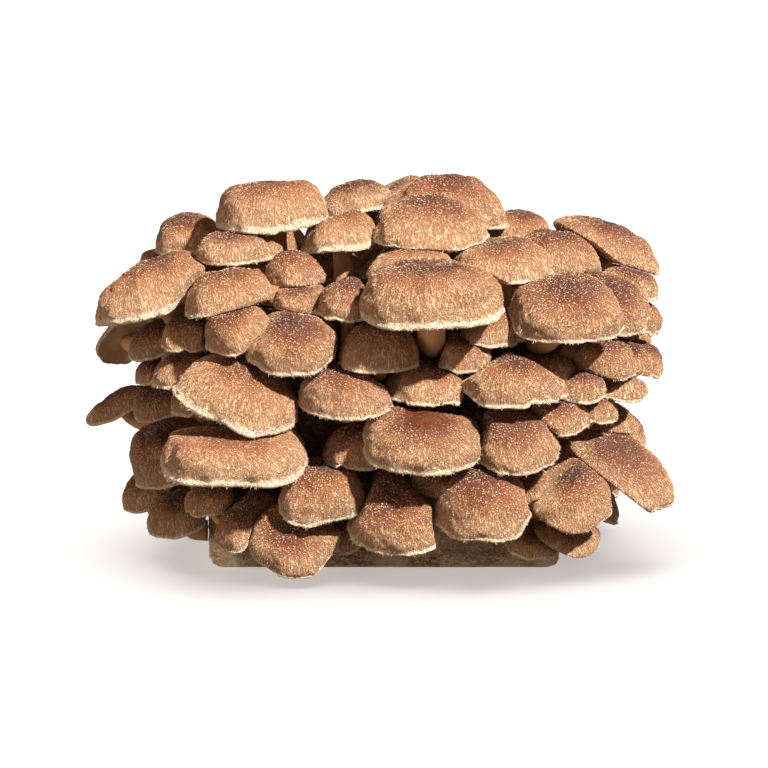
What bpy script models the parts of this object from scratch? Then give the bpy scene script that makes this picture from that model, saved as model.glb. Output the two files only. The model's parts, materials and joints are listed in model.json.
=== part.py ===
"""Shiitake grow block: a sawdust block almost covered by crowded mushrooms.

Each mushroom is a turned cap and stem. The stem bends down to the block, and the cap is pressed flat
where a neighbour or a neighbour's stem stands in its way, as crowded caps are. Sizes are millimetres
until a mesh is made. X is the block's length, the photographed face looks along -Y, and Z is up.
"""
import math

import bmesh
import bpy
import numpy as np
from mathutils import Vector

NAME = "shiitake_log"
TO_METRES = 0.001
GAP = 0.3  # between neighbouring pieces
LEAST = 0.01  # points closer than this are one
MERGE = 0.0001  # the same, where a profile meets its axis
FLOOR_CLEARANCE = 1.5  # the caps stay off the ground that the block stands on

BLOCK_LENGTH = 190.0
BLOCK_DEPTH = 122.0
BLOCK_HEIGHT = 138.0
BLOCK_SIZE = np.array([BLOCK_LENGTH, BLOCK_DEPTH, BLOCK_HEIGHT])
BLOCK_MIDDLE = np.array([0, 0, BLOCK_HEIGHT / 2])
BLOCK_EDGE = 7.0  # rounding of the block's edges
CUT_EDGE = 0.3  # of that, round the cut base
ROOT_MARGIN = 13.0  # stems keep this far from the block's edges

SIDES = ((22.6, 8), (14.6, 7), (0, 6))  # radius from which a cap has that many sides
LIP = 0.13  # how far the rolled rim hangs under the rim's centre, as a share of the cap's radius
SHOULDER = (0.55, 0.88)  # of the cap's radius and of its dome's height
RIM_TOP = (0.96, 0.36)
RIM_INSIDE = 0.93
MIDDLE_HEIGHT = 0.3  # of the point that a pressed cap shrinks towards, as a share of the dome
ROOT_BELOW = 0.45  # a leaning cap's stem starts this much of its radius further in
STEM_SHARE = 0.2  # stem radius as a share of the cap's radius
STEM_LEAST, STEM_MOST = 3.0, 6.5
SMALL_STEM_SHARE = 0.62  # a branching stem's radius against the stem that it grows from
STEM_FLARE = 1.25  # the stem's foot against its neck
NECK_BEND, FOOT_BEND = 0.45, 0.4  # straight lead at the stem's two ends, as shares of its reach
ROOT_SPACING = 2.5  # between two stems' feet
ROOT_ROUNDS = 200
BRANCH_AT = 0.62  # where a small mushroom's stem joins its neighbour's, from neck to foot
STEM_MARK = 1000.0  # length of a stem in the turned shape, before it is bent into place
CORE_MARGIN = 0.6  # what pressing leaves around a cap's middle and neck
REACH = 12.0  # caps further apart than this can't touch
FRONT_COUNTS = 0.8  # being nearer counts this much against being higher
KEEPS_SHAPE = 26.0  # a cap this much nearer or higher than its neighbour isn't pressed by it
DIRECTIONS = 900

# Caps in rows: name, x, y, height of the rim, width, dome height over radius, lean, turn.
# Lean is from upright in degrees, turn is its direction: 0 to the front, 90 to +X, 180 to the back.
MAIN_CAPS = [
    ("top_1", -60, -18, 185, 64, 0.60, 4, -90),
    ("top_2", -23, -30, 174, 43, 0.78, 8, -80),
    ("top_3", 31, 12, 183, 70, 0.68, 2, 0),
    ("top_4", 25, -40, 180, 62, 0.60, 6, 0),
    ("top_5", 61, -58, 164, 56, 0.52, 6, 0),
    ("top_6", 93, -20, 162, 48, 0.65, 8, 45),
    ("top_7", 119, 6, 162, 62, 0.58, 20, 90),
    ("right_1", 119, -46, 142, 48, 0.60, 32, 25),
    ("right_2", 95, -80, 144, 58, 0.58, 22, 8),
    ("right_3", 117, -58, 112, 36, 0.80, 17, 30),
    ("right_4", 92, -76, 86, 33, 0.85, 19, 15),
    ("right_5", 127, -56, 56, 64, 0.40, 34, 46),
    ("right_6", 96, -82, 44, 50, 0.80, 32, 14),
    ("centre_1", -47, -62, 158, 31, 0.95, 8, 0),
    ("centre_2", 14, -62, 165, 44, 0.50, 5, -90),
    ("centre_3", -19, -84, 146, 34, 0.98, 10, 0),
    ("centre_4", 25, -98, 150, 74, 0.60, 4, 0),
    ("centre_5", -49, -92, 129, 50, 0.65, 30, 0),
    ("centre_6", -82, -72, 148, 48, 0.70, 12, -60),
    ("centre_7", -76, -88, 133, 37, 0.92, 25, -40),
    ("centre_8", -3, -91, 121, 42, 0.85, 6, 0),
    ("centre_9", 41, -80, 121, 34, 0.85, 20, 0),
    ("centre_10", 69, -88, 106, 54, 0.62, 12, 11),
    ("centre_11", -20, -94, 100, 47, 0.74, 15, 0),
    ("centre_12", 22, -86, 102, 42, 0.76, 6, 30),
    ("left_1", -117, -40, 145, 72, 0.62, 20, -95),
    ("left_2", -105, -60, 106, 38, 0.65, 8, -60),
    ("left_3", -142, -18, 82, 37, 0.52, 26, -85),
    ("left_4", -112, -64, 64, 50, 0.82, 32, -42),
    ("front_1", -75, -92, 100, 61, 0.66, 25, 48),
    ("front_2", -79, -94, 72, 76, 0.48, 16, 5),
    ("front_3", -34, -88, 46, 46, 0.92, 22, 7),
    ("front_4", -15, -80, 67, 36, 0.90, 10, 0),
    ("front_5", 20, -99, 79, 63, 0.56, 23, 10),
    ("front_6", 69, -90, 74, 47, 0.88, 25, 9),
    ("front_7", 52, -98, 41, 52, 0.86, 25, 0),
    ("front_8", 7, -88, 35, 55, 0.90, 30, 0),
    ("low_1", -74, -80, 29, 42, 0.92, 25, -5),
    ("low_2", -48, -90, 24, 48, 0.52, 42, 4),
    ("low_3", -106, -58, 29, 46, 0.62, 18, -60),
    ("back_1", -74, 42, 160, 62, 0.60, 8, 160),
    ("back_2", -14, 58, 162, 60, 0.62, 8, 180),
    ("back_3", 48, 58, 159, 64, 0.58, 10, 170),
    ("back_4", 103, 48, 148, 58, 0.62, 18, 130),
    ("back_5", -114, 42, 126, 60, 0.62, 22, -115),
    ("back_6", -46, 88, 124, 66, 0.60, 14, 185),
    ("back_7", 18, 92, 126, 62, 0.62, 12, 175),
    ("back_8", 78, 84, 120, 60, 0.62, 16, 165),
    ("back_9", -90, 78, 86, 62, 0.64, 22, -160),
    ("back_10", -24, 94, 86, 68, 0.58, 16, 180),
    ("back_11", 42, 94, 84, 62, 0.64, 18, 180),
    ("back_12", 100, 72, 84, 58, 0.64, 24, 145),
    ("back_13", -62, 88, 46, 64, 0.62, 24, 190),
    ("back_14", 4, 92, 44, 60, 0.66, 26, 180),
    ("back_15", 66, 86, 44, 62, 0.62, 26, 165),
    ("side_1", 122, 24, 120, 56, 0.64, 22, 95),
    ("side_2", 119, 14, 62, 58, 0.62, 28, 90),
    ("side_3", -126, 16, 114, 50, 0.64, 24, -90),
    ("side_4", -115, 26, 54, 54, 0.64, 28, -95),
]

# Small mushrooms that branch from a larger one's stem: the larger one's name, then as above.
SMALL_CAPS = [
    ("top_1", -77, -36, 170, 46, 0.52, 6, -20),
    ("back_1", -107, 12, 168, 38, 0.85, 14, -60),
    ("back_1", -121, 18, 155, 28, 0.80, 16, -80),
    ("top_3", -15, 20, 187, 42, 0.66, 12, -98),
    ("back_2", 4, 30, 190, 42, 0.70, 12, -98),
    ("back_3", 75, 26, 168, 38, 0.78, 6, 80),
    ("top_7", 133, -18, 148, 34, 0.65, 20, 60),
    ("side_1", 136, -14, 128, 32, 0.78, 20, 70),
    ("centre_1", -44, -74, 150, 30, 0.75, 22, 0),
    ("centre_9", 57, -76, 130, 34, 0.85, 6, 0),
    ("centre_6", -103, -64, 126, 32, 0.80, 8, -30),
    ("left_1", -142, 0, 116, 35, 0.40, 58, -140),
    ("left_1", -124, -34, 118, 30, 0.80, 25, -55),
    ("left_3", -124, -44, 103, 20, 0.90, 20, -70),
    ("left_4", -120, -48, 86, 30, 0.80, 18, -55),
    ("front_1", -100, -72, 92, 26, 0.80, 14, -30),
    ("low_3", -126, -30, 35, 34, 0.80, 22, -60),
    ("low_1", -92, -76, 40, 28, 0.85, 14, -25),
    ("centre_10", 86, -66, 109, 34, 0.65, 12, 60),
    ("right_3", 130, -38, 108, 28, 0.90, 18, 55),
    ("side_1", 139, -16, 105, 28, 0.85, 26, 78),
    ("right_4", 124, -50, 98, 36, 0.60, 10, 40),
    ("right_3", 104, -72, 101, 28, 0.85, 20, 13),
    ("right_4", 112, -62, 86, 26, 0.75, 12, 40),
    ("right_5", 122, -34, 75, 34, 0.50, 10, 60),
    ("right_6", 76, -78, 47, 30, 0.95, 30, -40),
    ("front_5", 28, -84, 54, 26, 0.60, 40, 0),
    ("front_8", -21, -72, 22, 28, 0.75, 24, 0),
    ("right_6", 97, -65, 21, 42, 0.50, 26, 30),
    ("back_2", -44, 66, 149, 34, 0.75, 14, -165),
    ("back_3", 16, 72, 151, 34, 0.75, 14, 180),
    ("back_8", 100, 70, 118, 34, 0.70, 20, 140),
    ("back_6", -84, 72, 116, 36, 0.70, 20, -160),
    ("back_7", -14, 90, 114, 32, 0.70, 20, 180),
    ("back_9", -104, 64, 52, 40, 0.70, 26, -140),
    ("back_13", -32, 84, 26, 36, 0.65, 28, 180),
    ("back_14", 34, 86, 24, 34, 0.65, 28, 180),
    ("back_12", 100, 66, 50, 40, 0.70, 26, 135),
    ("side_2", 112, 40, 30, 46, 0.60, 26, 110),
    ("side_4", -110, 44, 26, 42, 0.60, 26, -120),
    ("side_1", 118, 50, 92, 38, 0.70, 24, 110),
    ("side_2", 112, -16, 28, 36, 0.65, 28, 80),
    ("back_5", -116, 50, 88, 38, 0.70, 24, -110),
    ("side_4", -112, -2, 26, 38, 0.65, 26, -85),
    ("left_3", -120, -2, 86, 34, 0.70, 24, -85),
    ("top_1", -32, 8, 153, 44, 0.55, 4, 0),
    ("top_3", 8, -4, 153, 40, 0.60, 4, 0),
    ("top_6", 66, 2, 149, 42, 0.55, 4, 0),
    ("front_7", 80, -72, 19, 32, 0.55, 24, 5),
]

CAP_COLOUR = (0.50, 0.27, 0.11, 1.0)
BLOCK_COLOUR = (0.42, 0.30, 0.18, 1.0)
CAP_ROUGHNESS = 0.8
BLOCK_ROUGHNESS = 0.9


def unit(vector):
    return vector / np.linalg.norm(vector)


def spread_directions(count):
    """Unit vectors spread evenly over a sphere."""
    step = np.arange(count) + 0.5
    height = 1 - 2 * step / count
    ring = np.sqrt(1 - height**2)
    angle = step * math.pi * (3 - math.sqrt(5))
    return np.stack([ring * np.cos(angle), ring * np.sin(angle), height], axis=1)


class Mushroom:
    """One cap and its stem, from a row of the tables."""

    def __init__(self, name, x, y, height, width, dome, lean, turn, parent=None):
        lean, turn = math.radians(lean), math.radians(turn)
        self.name = name
        self.parent = parent
        self.radius = width / 2
        self.dome = dome * self.radius
        self.stem = min(max(STEM_SHARE * self.radius, STEM_LEAST), STEM_MOST)
        if parent:
            self.stem = min(self.stem, SMALL_STEM_SHARE * parent.stem)
        self.centre = np.array([x, y, height], float)
        self.axis = np.array([
            math.sin(lean) * math.sin(turn),
            -math.sin(lean) * math.cos(turn),
            math.cos(lean),
        ])
        self.across = np.array([math.cos(turn), math.sin(turn), 0.0])
        self.along = np.cross(self.axis, self.across)
        self.middle = self.centre + self.axis * MIDDLE_HEIGHT * self.dome
        self.planes = []

    def profile(self):
        """Radius and height of the turned shape, from the cap's top down to the stem's foot."""
        r, h = self.radius, self.dome
        shoulder = (SHOULDER[0] * r, SHOULDER[1] * h)
        cap = [(0, h), shoulder, (RIM_TOP[0] * r, RIM_TOP[1] * h), (RIM_INSIDE * r, -LIP * r)]
        if self.parent:
            return cap + [(self.stem, 0), (self.stem, -STEM_MARK), (0, -STEM_MARK)]
        stem = [(self.stem, 0), (self.stem, -0.5 * STEM_MARK), (STEM_FLARE * self.stem, -STEM_MARK)]
        return cap + stem + [(0, -STEM_MARK)]

    def sides(self):
        return next(count for radius, count in SIDES if self.radius >= radius)

    def on_cap(self, x, y, z):
        return self.centre + x * self.across + y * self.along + z * self.axis

    def choose_root(self):
        """The foot stands on the nearest face of the block, or on the larger mushroom's stem."""
        half = BLOCK_SIZE / 2
        place = self.centre - BLOCK_MIDDLE
        side = int(np.argmax(np.abs(place) - half))
        self.face = np.zeros(3)
        self.face[side] = math.copysign(1, place[side])
        if self.parent:
            self.root, _ = self.parent.stem_point(BRANCH_AT)
            self.outward = unit(self.centre - self.axis * ROOT_BELOW * self.radius - self.root)
            return
        below = place - self.axis * ROOT_BELOW * self.radius
        root = np.clip(below, ROOT_MARGIN - half, half - ROOT_MARGIN)
        root[side] = self.face[side] * (half[side] + GAP)
        self.root = root + BLOCK_MIDDLE
        self.outward = self.face

    def stem_point(self, s):
        """Middle of the stem and its three axes, with s from 0 at the neck to 1 at the foot."""
        reach = np.linalg.norm(self.centre - self.root)
        a = self.centre
        b = a - self.axis * NECK_BEND * reach
        c = self.root + self.outward * FOOT_BEND * reach
        t = 1 - s
        point = t**3 * a + 3 * t * t * s * b + 3 * t * s * s * c + s**3 * self.root
        up = unit(t * self.axis + s * self.outward)
        across = unit(self.across - up * np.dot(self.across, up))
        return point, (across, np.cross(up, across), up)

    def on_stem(self, x, y, s):
        point, (across, along, _) = self.stem_point(s)
        point = point + x * across + y * along
        if not self.parent:
            inside = min(np.dot(point - self.root, self.outward), 0)
            point = point - inside * self.outward
        return point

    def ring(self, radius, height, count):
        angles = np.arange(count) * 2 * math.pi / count
        return [(radius * math.cos(a), radius * math.sin(a), height) for a in angles]

    def cap_hull(self):
        rows = self.profile()[:4]
        points = [p for r, z in rows for p in self.ring(r, z, self.sides())]
        return np.array([self.on_cap(*p) for p in points])

    def core(self):
        """What pressing must not reach: the middle of the cap and the neck."""
        neck = [self.on_cap(*p) for p in self.ring(self.stem, 0, self.sides())]
        return np.array([self.middle, *neck])

    def stem_hulls(self):
        """Corners of each straight stretch of the stem."""
        rows = [row for row in self.profile()[5:] if row[0]]
        rings = [[self.on_cap(*p) for p in self.ring(self.stem, 0, self.sides())]]
        for r, z in rows:
            rings.append([self.on_stem(x, y, -z / STEM_MARK) for x, y, _ in self.ring(r, 0, self.sides())])
        return [np.array(a + b) for a, b in zip(rings, rings[1:])]

    def pressed(self, point):
        """A point of the cap drawn in towards the cap's middle, to stay behind every plane."""
        share = 1.0
        step = point - self.middle
        for normal, limit in self.planes:
            reach = np.dot(normal, step)
            room = limit - np.dot(normal, self.middle)
            if reach > room:
                share = min(share, room / reach)
        return self.middle + share * step


def read_tables():
    mushrooms = [Mushroom(*row) for row in MAIN_CAPS]
    by_name = {m.name: m for m in mushrooms}
    for number, (parent, *row) in enumerate(SMALL_CAPS, 1):
        mushrooms.append(Mushroom(f"small_{number}", *row, parent=by_name[parent]))
    return mushrooms


def spread_roots(mushrooms):
    """Feet on one face of the block are pushed apart until none touch."""
    low = BLOCK_MIDDLE - BLOCK_SIZE / 2 + ROOT_MARGIN
    high = BLOCK_MIDDLE + BLOCK_SIZE / 2 - ROOT_MARGIN
    for _ in range(ROOT_ROUNDS):
        for a in mushrooms:
            for b in mushrooms:
                if a is b or np.dot(a.face, b.face) < 1:
                    continue
                apart = b.root - a.root
                distance = np.linalg.norm(apart)
                wanted = (a.stem + b.stem) * STEM_FLARE + ROOT_SPACING
                if distance < wanted:
                    push = (wanted - distance) / 2 * apart / max(distance, LEAST)
                    a.root = a.root - push
                    b.root = b.root + push
        for m in mushrooms:
            m.root = np.where(m.face == 0, np.clip(m.root, low, high), m.root)


def dividing_plane(a_hull, a_core, b_hull, b_core, directions, b_gives):
    """The plane that presses two shapes least: its normal and its place, or None where they are apart."""
    a_far = (a_hull @ directions.T).max(axis=0)
    b_near = (b_hull @ directions.T).min(axis=0)
    depth = a_far - b_near
    if depth.min() < -GAP:
        return None
    least = (a_core @ directions.T).max(axis=0) + CORE_MARGIN
    most = (b_core @ directions.T).min(axis=0) - CORE_MARGIN
    spare = most - least
    if spare.max() < GAP:
        raise ValueError("no plane leaves both cores free")
    best = int(np.argmin(np.where(spare > GAP, depth, np.inf)))
    place = a_far[best] + GAP / 2 - (1 - b_gives) * (depth[best] + GAP)
    place = min(max(place, least[best] + GAP / 2), most[best] - GAP / 2)
    return directions[best], place


def press_neighbours(mushrooms):
    """Gives each cap the planes that keep it clear of its neighbours, their stems and the block."""
    directions = spread_directions(DIRECTIONS)
    caps = [m.cap_hull() for m in mushrooms]
    cores = [m.core() for m in mushrooms]
    stems = [m.stem_hulls() for m in mushrooms]
    for i, a in enumerate(mushrooms):
        for j, b in enumerate(mushrooms):
            near = np.linalg.norm(a.centre - b.centre) < a.radius + b.radius + REACH
            if j > i and near:
                lead = (a.centre - b.centre) @ (0, -FRONT_COUNTS, 1)
                b_gives = min(max(0.5 + lead / KEEPS_SHAPE, 0), 1)
                found = dividing_plane(caps[i], cores[i], caps[j], cores[j], directions, b_gives)
                if found:
                    normal, place = found
                    a.planes.append((normal, place - GAP / 2))
                    b.planes.append((-normal, -place - GAP / 2))
            if i == j:
                continue
            for stem in stems[j]:
                found = dividing_plane(caps[i], cores[i], stem, stem, directions, 0)
                if found:
                    normal, place = found
                    a.planes.append((normal, place - GAP / 2))
        surface = np.dot(BLOCK_MIDDLE, a.face) + np.dot(BLOCK_SIZE / 2, np.abs(a.face))
        a.planes.append((-a.face, -(surface + GAP)))
        a.planes.append((np.array([0, 0, -1.0]), -FLOOR_CLEARANCE))


def stems_apart(mushrooms):
    """Stops the build where stems of two pieces would touch."""
    directions = spread_directions(DIRECTIONS)
    stretches = [(m, hull) for m in mushrooms for hull in m.stem_hulls()]
    for i, (a, one) in enumerate(stretches):
        for b, other in stretches[:i]:
            if (a.parent or a) is (b.parent or b):
                continue
            depth = (one @ directions.T).max(axis=0) - (other @ directions.T).min(axis=0)
            if depth.min() > -GAP:
                raise ValueError(f"the stems of {a.name} and {b.name} touch")


def turned(profile, steps, collection):
    """A closed turned mesh, in millimetres, from a Screw modifier on the profile."""
    mesh = bpy.data.meshes.new("profile")
    edges = [(k, k + 1) for k in range(len(profile) - 1)]
    mesh.from_pydata([(r, 0, z) for r, z in profile], edges, [])
    shape = bpy.data.objects.new("profile", mesh)
    collection.objects.link(shape)
    screw = shape.modifiers.new("Turn", "SCREW")
    screw.steps = steps
    screw.render_steps = steps
    screw.use_merge_vertices = True
    screw.merge_threshold = MERGE
    screw.use_smooth_shade = False
    depsgraph = bpy.context.evaluated_depsgraph_get()
    result = bpy.data.meshes.new_from_object(shape.evaluated_get(depsgraph))
    bpy.data.objects.remove(shape)
    bpy.data.meshes.remove(mesh)
    return result


def mushroom_object(mushroom, name, material, collection):
    mesh = turned(mushroom.profile(), mushroom.sides(), collection)
    for vertex in mesh.vertices:
        x, y, z = vertex.co
        at_neck = z < mushroom.dome / 2 and math.hypot(x, y) < mushroom.stem + GAP
        if z < -STEM_MARK / 4:
            place = mushroom.on_stem(x, y, -z / STEM_MARK)
        elif at_neck:
            place = mushroom.on_cap(x, y, z)
        else:
            place = mushroom.pressed(mushroom.on_cap(x, y, z))
        vertex.co = Vector(place) * TO_METRES
    shape = bmesh.new()
    shape.from_mesh(mesh)
    bmesh.ops.remove_doubles(shape, verts=shape.verts, dist=LEAST * TO_METRES)
    bmesh.ops.recalc_face_normals(shape, faces=shape.faces)
    shape.to_mesh(mesh)
    shape.free()
    mesh.name = name
    mesh.materials.append(material)
    piece = bpy.data.objects.new(name, mesh)
    collection.objects.link(piece)
    return piece


def join_small(main, small):
    """The small mushroom's stem grows out of the larger one's.

    The exact solver leaves some of these unions empty, so all of them use the manifold one.
    """
    union = main.modifiers.new("Branch", "BOOLEAN")
    union.operation = "UNION"
    union.solver = "MANIFOLD"
    union.object = small
    small.hide_render = True
    small.display_type = "WIRE"


def make_material(name, colour, roughness):
    material = bpy.data.materials.new(name)
    material.use_nodes = True
    shader = material.node_tree.nodes["Principled BSDF"]
    shader.inputs["Base Color"].default_value = colour
    shader.inputs["Roughness"].default_value = roughness
    shader.inputs["Metallic"].default_value = 0.0
    return material


def make_block(collection):
    bpy.ops.mesh.primitive_cube_add(size=1)
    block = bpy.context.object
    block.name = "sawdust_block"
    size = Vector((BLOCK_LENGTH, BLOCK_DEPTH, BLOCK_HEIGHT)) * TO_METRES
    for vertex in block.data.vertices:
        x, y, z = vertex.co
        vertex.co = Vector((x * size.x, y * size.y, (z + 0.5) * size.z))
    weights = block.data.attributes.new("bevel_weight_edge", "FLOAT", "EDGE")
    for edge in block.data.edges:
        on_base = all(block.data.vertices[v].co.z == 0 for v in edge.vertices)
        weights.data[edge.index].value = CUT_EDGE if on_base else 1.0
    bevel = block.modifiers.new("Soft edges", "BEVEL")
    bevel.limit_method = "WEIGHT"
    bevel.width = BLOCK_EDGE * TO_METRES
    bevel.segments = 2
    block.data.materials.append(make_material("block", BLOCK_COLOUR, BLOCK_ROUGHNESS))
    for owner in block.users_collection:
        owner.objects.unlink(block)
    collection.objects.link(block)
    return block


def main():
    for old in list(bpy.data.objects):
        bpy.data.objects.remove(old, do_unlink=True)
    parts = bpy.data.collections.new(NAME)
    branches = bpy.data.collections.new("branches")
    for collection in (parts, branches):
        bpy.context.scene.collection.children.link(collection)
    make_block(parts)
    mushrooms = read_tables()
    mains = [m for m in mushrooms if not m.parent]
    small = [m for m in mushrooms if m.parent]
    for m in mains:
        m.choose_root()
    spread_roots(mains)
    for m in small:
        m.choose_root()
    press_neighbours(mushrooms)
    stems_apart(mushrooms)
    pieces = {}
    for m in mains:
        material = make_material(f"cap_{m.name}", CAP_COLOUR, CAP_ROUGHNESS)
        pieces[m.name] = mushroom_object(m, f"mushroom_{m.name}", material, parts)
    for m in small:
        main_piece = pieces[m.parent.name]
        material = main_piece.data.materials[0]
        join_small(main_piece, mushroom_object(m, f"branch_{m.name}", material, branches))


main()
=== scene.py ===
"""Shiitake grow block: furry caps, gills, stems and the sawdust block that they grow from.

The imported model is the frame. Each mushroom is modelled again from the same rows of places and sizes,
pressed by its neighbours in the same way, and stands for its solid. Sizes are millimetres until a mesh
is made, and the photographed side looks along -Y.
"""
import json
import math

import bpy
import numpy as np
from bpy.props import FloatProperty, FloatVectorProperty, IntProperty, PointerProperty
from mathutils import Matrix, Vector, noise

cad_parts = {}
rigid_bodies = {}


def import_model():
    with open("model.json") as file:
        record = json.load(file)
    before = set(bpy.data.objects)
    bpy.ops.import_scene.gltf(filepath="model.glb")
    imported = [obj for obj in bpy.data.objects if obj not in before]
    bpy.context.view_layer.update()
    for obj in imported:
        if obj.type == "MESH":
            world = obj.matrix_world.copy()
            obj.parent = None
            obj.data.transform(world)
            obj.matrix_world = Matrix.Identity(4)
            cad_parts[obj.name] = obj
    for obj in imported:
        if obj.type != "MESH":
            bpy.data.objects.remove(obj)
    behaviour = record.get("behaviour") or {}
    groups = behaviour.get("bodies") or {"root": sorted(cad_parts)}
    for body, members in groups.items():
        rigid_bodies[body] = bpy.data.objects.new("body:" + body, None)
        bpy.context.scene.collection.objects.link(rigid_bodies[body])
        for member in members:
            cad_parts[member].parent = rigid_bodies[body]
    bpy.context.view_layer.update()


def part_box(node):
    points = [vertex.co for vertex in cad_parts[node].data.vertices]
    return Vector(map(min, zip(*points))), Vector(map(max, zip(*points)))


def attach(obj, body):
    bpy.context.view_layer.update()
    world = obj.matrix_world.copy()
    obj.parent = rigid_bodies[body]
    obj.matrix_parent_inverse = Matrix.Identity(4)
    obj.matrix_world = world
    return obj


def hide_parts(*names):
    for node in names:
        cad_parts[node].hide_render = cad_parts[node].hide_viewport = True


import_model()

bl_info = {
    "name": "Shiitake Grow Block",
    "version": (1, 0, 0),
    "blender": (4, 5, 0),
    "location": "View3D > Sidebar > Shiitake",
    "description": "Builds a sawdust block crowded with furry shiitake mushrooms",
    "category": "Add Mesh",
}

TO_METRES = 0.001
GAP = 0.3
FLOOR_CLEARANCE = 1.5
BLOCK_LOW, BLOCK_HIGH = (np.array(corner) / TO_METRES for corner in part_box("sawdust_block"))
BLOCK_SIZE = BLOCK_HIGH - BLOCK_LOW
BLOCK_MIDDLE = (BLOCK_HIGH + BLOCK_LOW) / 2
ROOT_MARGIN = 13.0
LEAST = 0.01
LIP = 0.13  # how far the rolled rim hangs under the rim's centre, as a share of the cap's radius
MIDDLE_HEIGHT = 0.3  # of the point that a pressed cap shrinks towards, as a share of the dome
ROOT_BELOW = 0.45  # a leaning cap's stem starts this much of its radius further in
STEM_SHARE = 0.2  # stem radius as a share of the cap's radius
STEM_LEAST, STEM_MOST = 3.0, 6.5
SMALL_STEM_SHARE = 0.62  # a branching stem's radius against the stem that it grows from
STEM_FLARE = 1.25  # the stem's foot against its neck
NECK_BEND, FOOT_BEND = 0.45, 0.4  # straight lead at the stem's two ends, as shares of its reach
ROOT_SPACING = 2.5  # between two stems' feet
ROOT_ROUNDS = 200
BRANCH_AT = 0.62  # where a small mushroom's stem joins its neighbour's, from neck to foot
CORE_MARGIN = 0.6  # what pressing leaves around a cap's middle and neck
REACH = 12.0  # caps further apart than this can't touch
FRONT_COUNTS = 0.8  # being nearer counts this much against being higher
KEEPS_SHAPE = 26.0
DIRECTIONS = 900
HULL_SIDES = 16

# Caps in rows: name, x, y, height of the rim, width, dome height over radius, lean, turn.
# Lean is from upright in degrees, turn is its direction: 0 to the front, 90 to +X, 180 to the back.
MAIN_CAPS = [
    ("top_1", -60, -18, 185, 64, 0.60, 4, -90),
    ("top_2", -23, -30, 174, 43, 0.78, 8, -80),
    ("top_3", 31, 12, 183, 70, 0.68, 2, 0),
    ("top_4", 25, -40, 180, 62, 0.60, 6, 0),
    ("top_5", 61, -58, 164, 56, 0.52, 6, 0),
    ("top_6", 93, -20, 162, 48, 0.65, 8, 45),
    ("top_7", 119, 6, 162, 62, 0.58, 20, 90),
    ("right_1", 119, -46, 142, 48, 0.60, 32, 25),
    ("right_2", 95, -80, 144, 58, 0.58, 22, 8),
    ("right_3", 117, -58, 112, 36, 0.80, 17, 30),
    ("right_4", 92, -76, 86, 33, 0.85, 19, 15),
    ("right_5", 127, -56, 56, 64, 0.40, 34, 46),
    ("right_6", 96, -82, 44, 50, 0.80, 32, 14),
    ("centre_1", -47, -62, 158, 31, 0.95, 8, 0),
    ("centre_2", 14, -62, 165, 44, 0.50, 5, -90),
    ("centre_3", -19, -84, 146, 34, 0.98, 10, 0),
    ("centre_4", 25, -98, 150, 74, 0.60, 4, 0),
    ("centre_5", -49, -92, 129, 50, 0.65, 30, 0),
    ("centre_6", -82, -72, 148, 48, 0.70, 12, -60),
    ("centre_7", -76, -88, 133, 37, 0.92, 25, -40),
    ("centre_8", -3, -91, 121, 42, 0.85, 6, 0),
    ("centre_9", 41, -80, 121, 34, 0.85, 20, 0),
    ("centre_10", 69, -88, 106, 54, 0.62, 12, 11),
    ("centre_11", -20, -94, 100, 47, 0.74, 15, 0),
    ("centre_12", 22, -86, 102, 42, 0.76, 6, 30),
    ("left_1", -117, -40, 145, 72, 0.62, 20, -95),
    ("left_2", -105, -60, 106, 38, 0.65, 8, -60),
    ("left_3", -142, -18, 82, 37, 0.52, 26, -85),
    ("left_4", -112, -64, 64, 50, 0.82, 32, -42),
    ("front_1", -75, -92, 100, 61, 0.66, 25, 48),
    ("front_2", -79, -94, 72, 76, 0.48, 16, 5),
    ("front_3", -34, -88, 46, 46, 0.92, 22, 7),
    ("front_4", -15, -80, 67, 36, 0.90, 10, 0),
    ("front_5", 20, -99, 79, 63, 0.56, 23, 10),
    ("front_6", 69, -90, 74, 47, 0.88, 25, 9),
    ("front_7", 52, -98, 41, 52, 0.86, 25, 0),
    ("front_8", 7, -88, 35, 55, 0.90, 30, 0),
    ("low_1", -74, -80, 29, 42, 0.92, 25, -5),
    ("low_2", -48, -90, 24, 48, 0.52, 42, 4),
    ("low_3", -106, -58, 29, 46, 0.62, 18, -60),
    ("back_1", -74, 42, 160, 62, 0.60, 8, 160),
    ("back_2", -14, 58, 162, 60, 0.62, 8, 180),
    ("back_3", 48, 58, 159, 64, 0.58, 10, 170),
    ("back_4", 103, 48, 148, 58, 0.62, 18, 130),
    ("back_5", -114, 42, 126, 60, 0.62, 22, -115),
    ("back_6", -46, 88, 124, 66, 0.60, 14, 185),
    ("back_7", 18, 92, 126, 62, 0.62, 12, 175),
    ("back_8", 78, 84, 120, 60, 0.62, 16, 165),
    ("back_9", -90, 78, 86, 62, 0.64, 22, -160),
    ("back_10", -24, 94, 86, 68, 0.58, 16, 180),
    ("back_11", 42, 94, 84, 62, 0.64, 18, 180),
    ("back_12", 100, 72, 84, 58, 0.64, 24, 145),
    ("back_13", -62, 88, 46, 64, 0.62, 24, 190),
    ("back_14", 4, 92, 44, 60, 0.66, 26, 180),
    ("back_15", 66, 86, 44, 62, 0.62, 26, 165),
    ("side_1", 122, 24, 120, 56, 0.64, 22, 95),
    ("side_2", 119, 14, 62, 58, 0.62, 28, 90),
    ("side_3", -126, 16, 114, 50, 0.64, 24, -90),
    ("side_4", -115, 26, 54, 54, 0.64, 28, -95),
]

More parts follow.
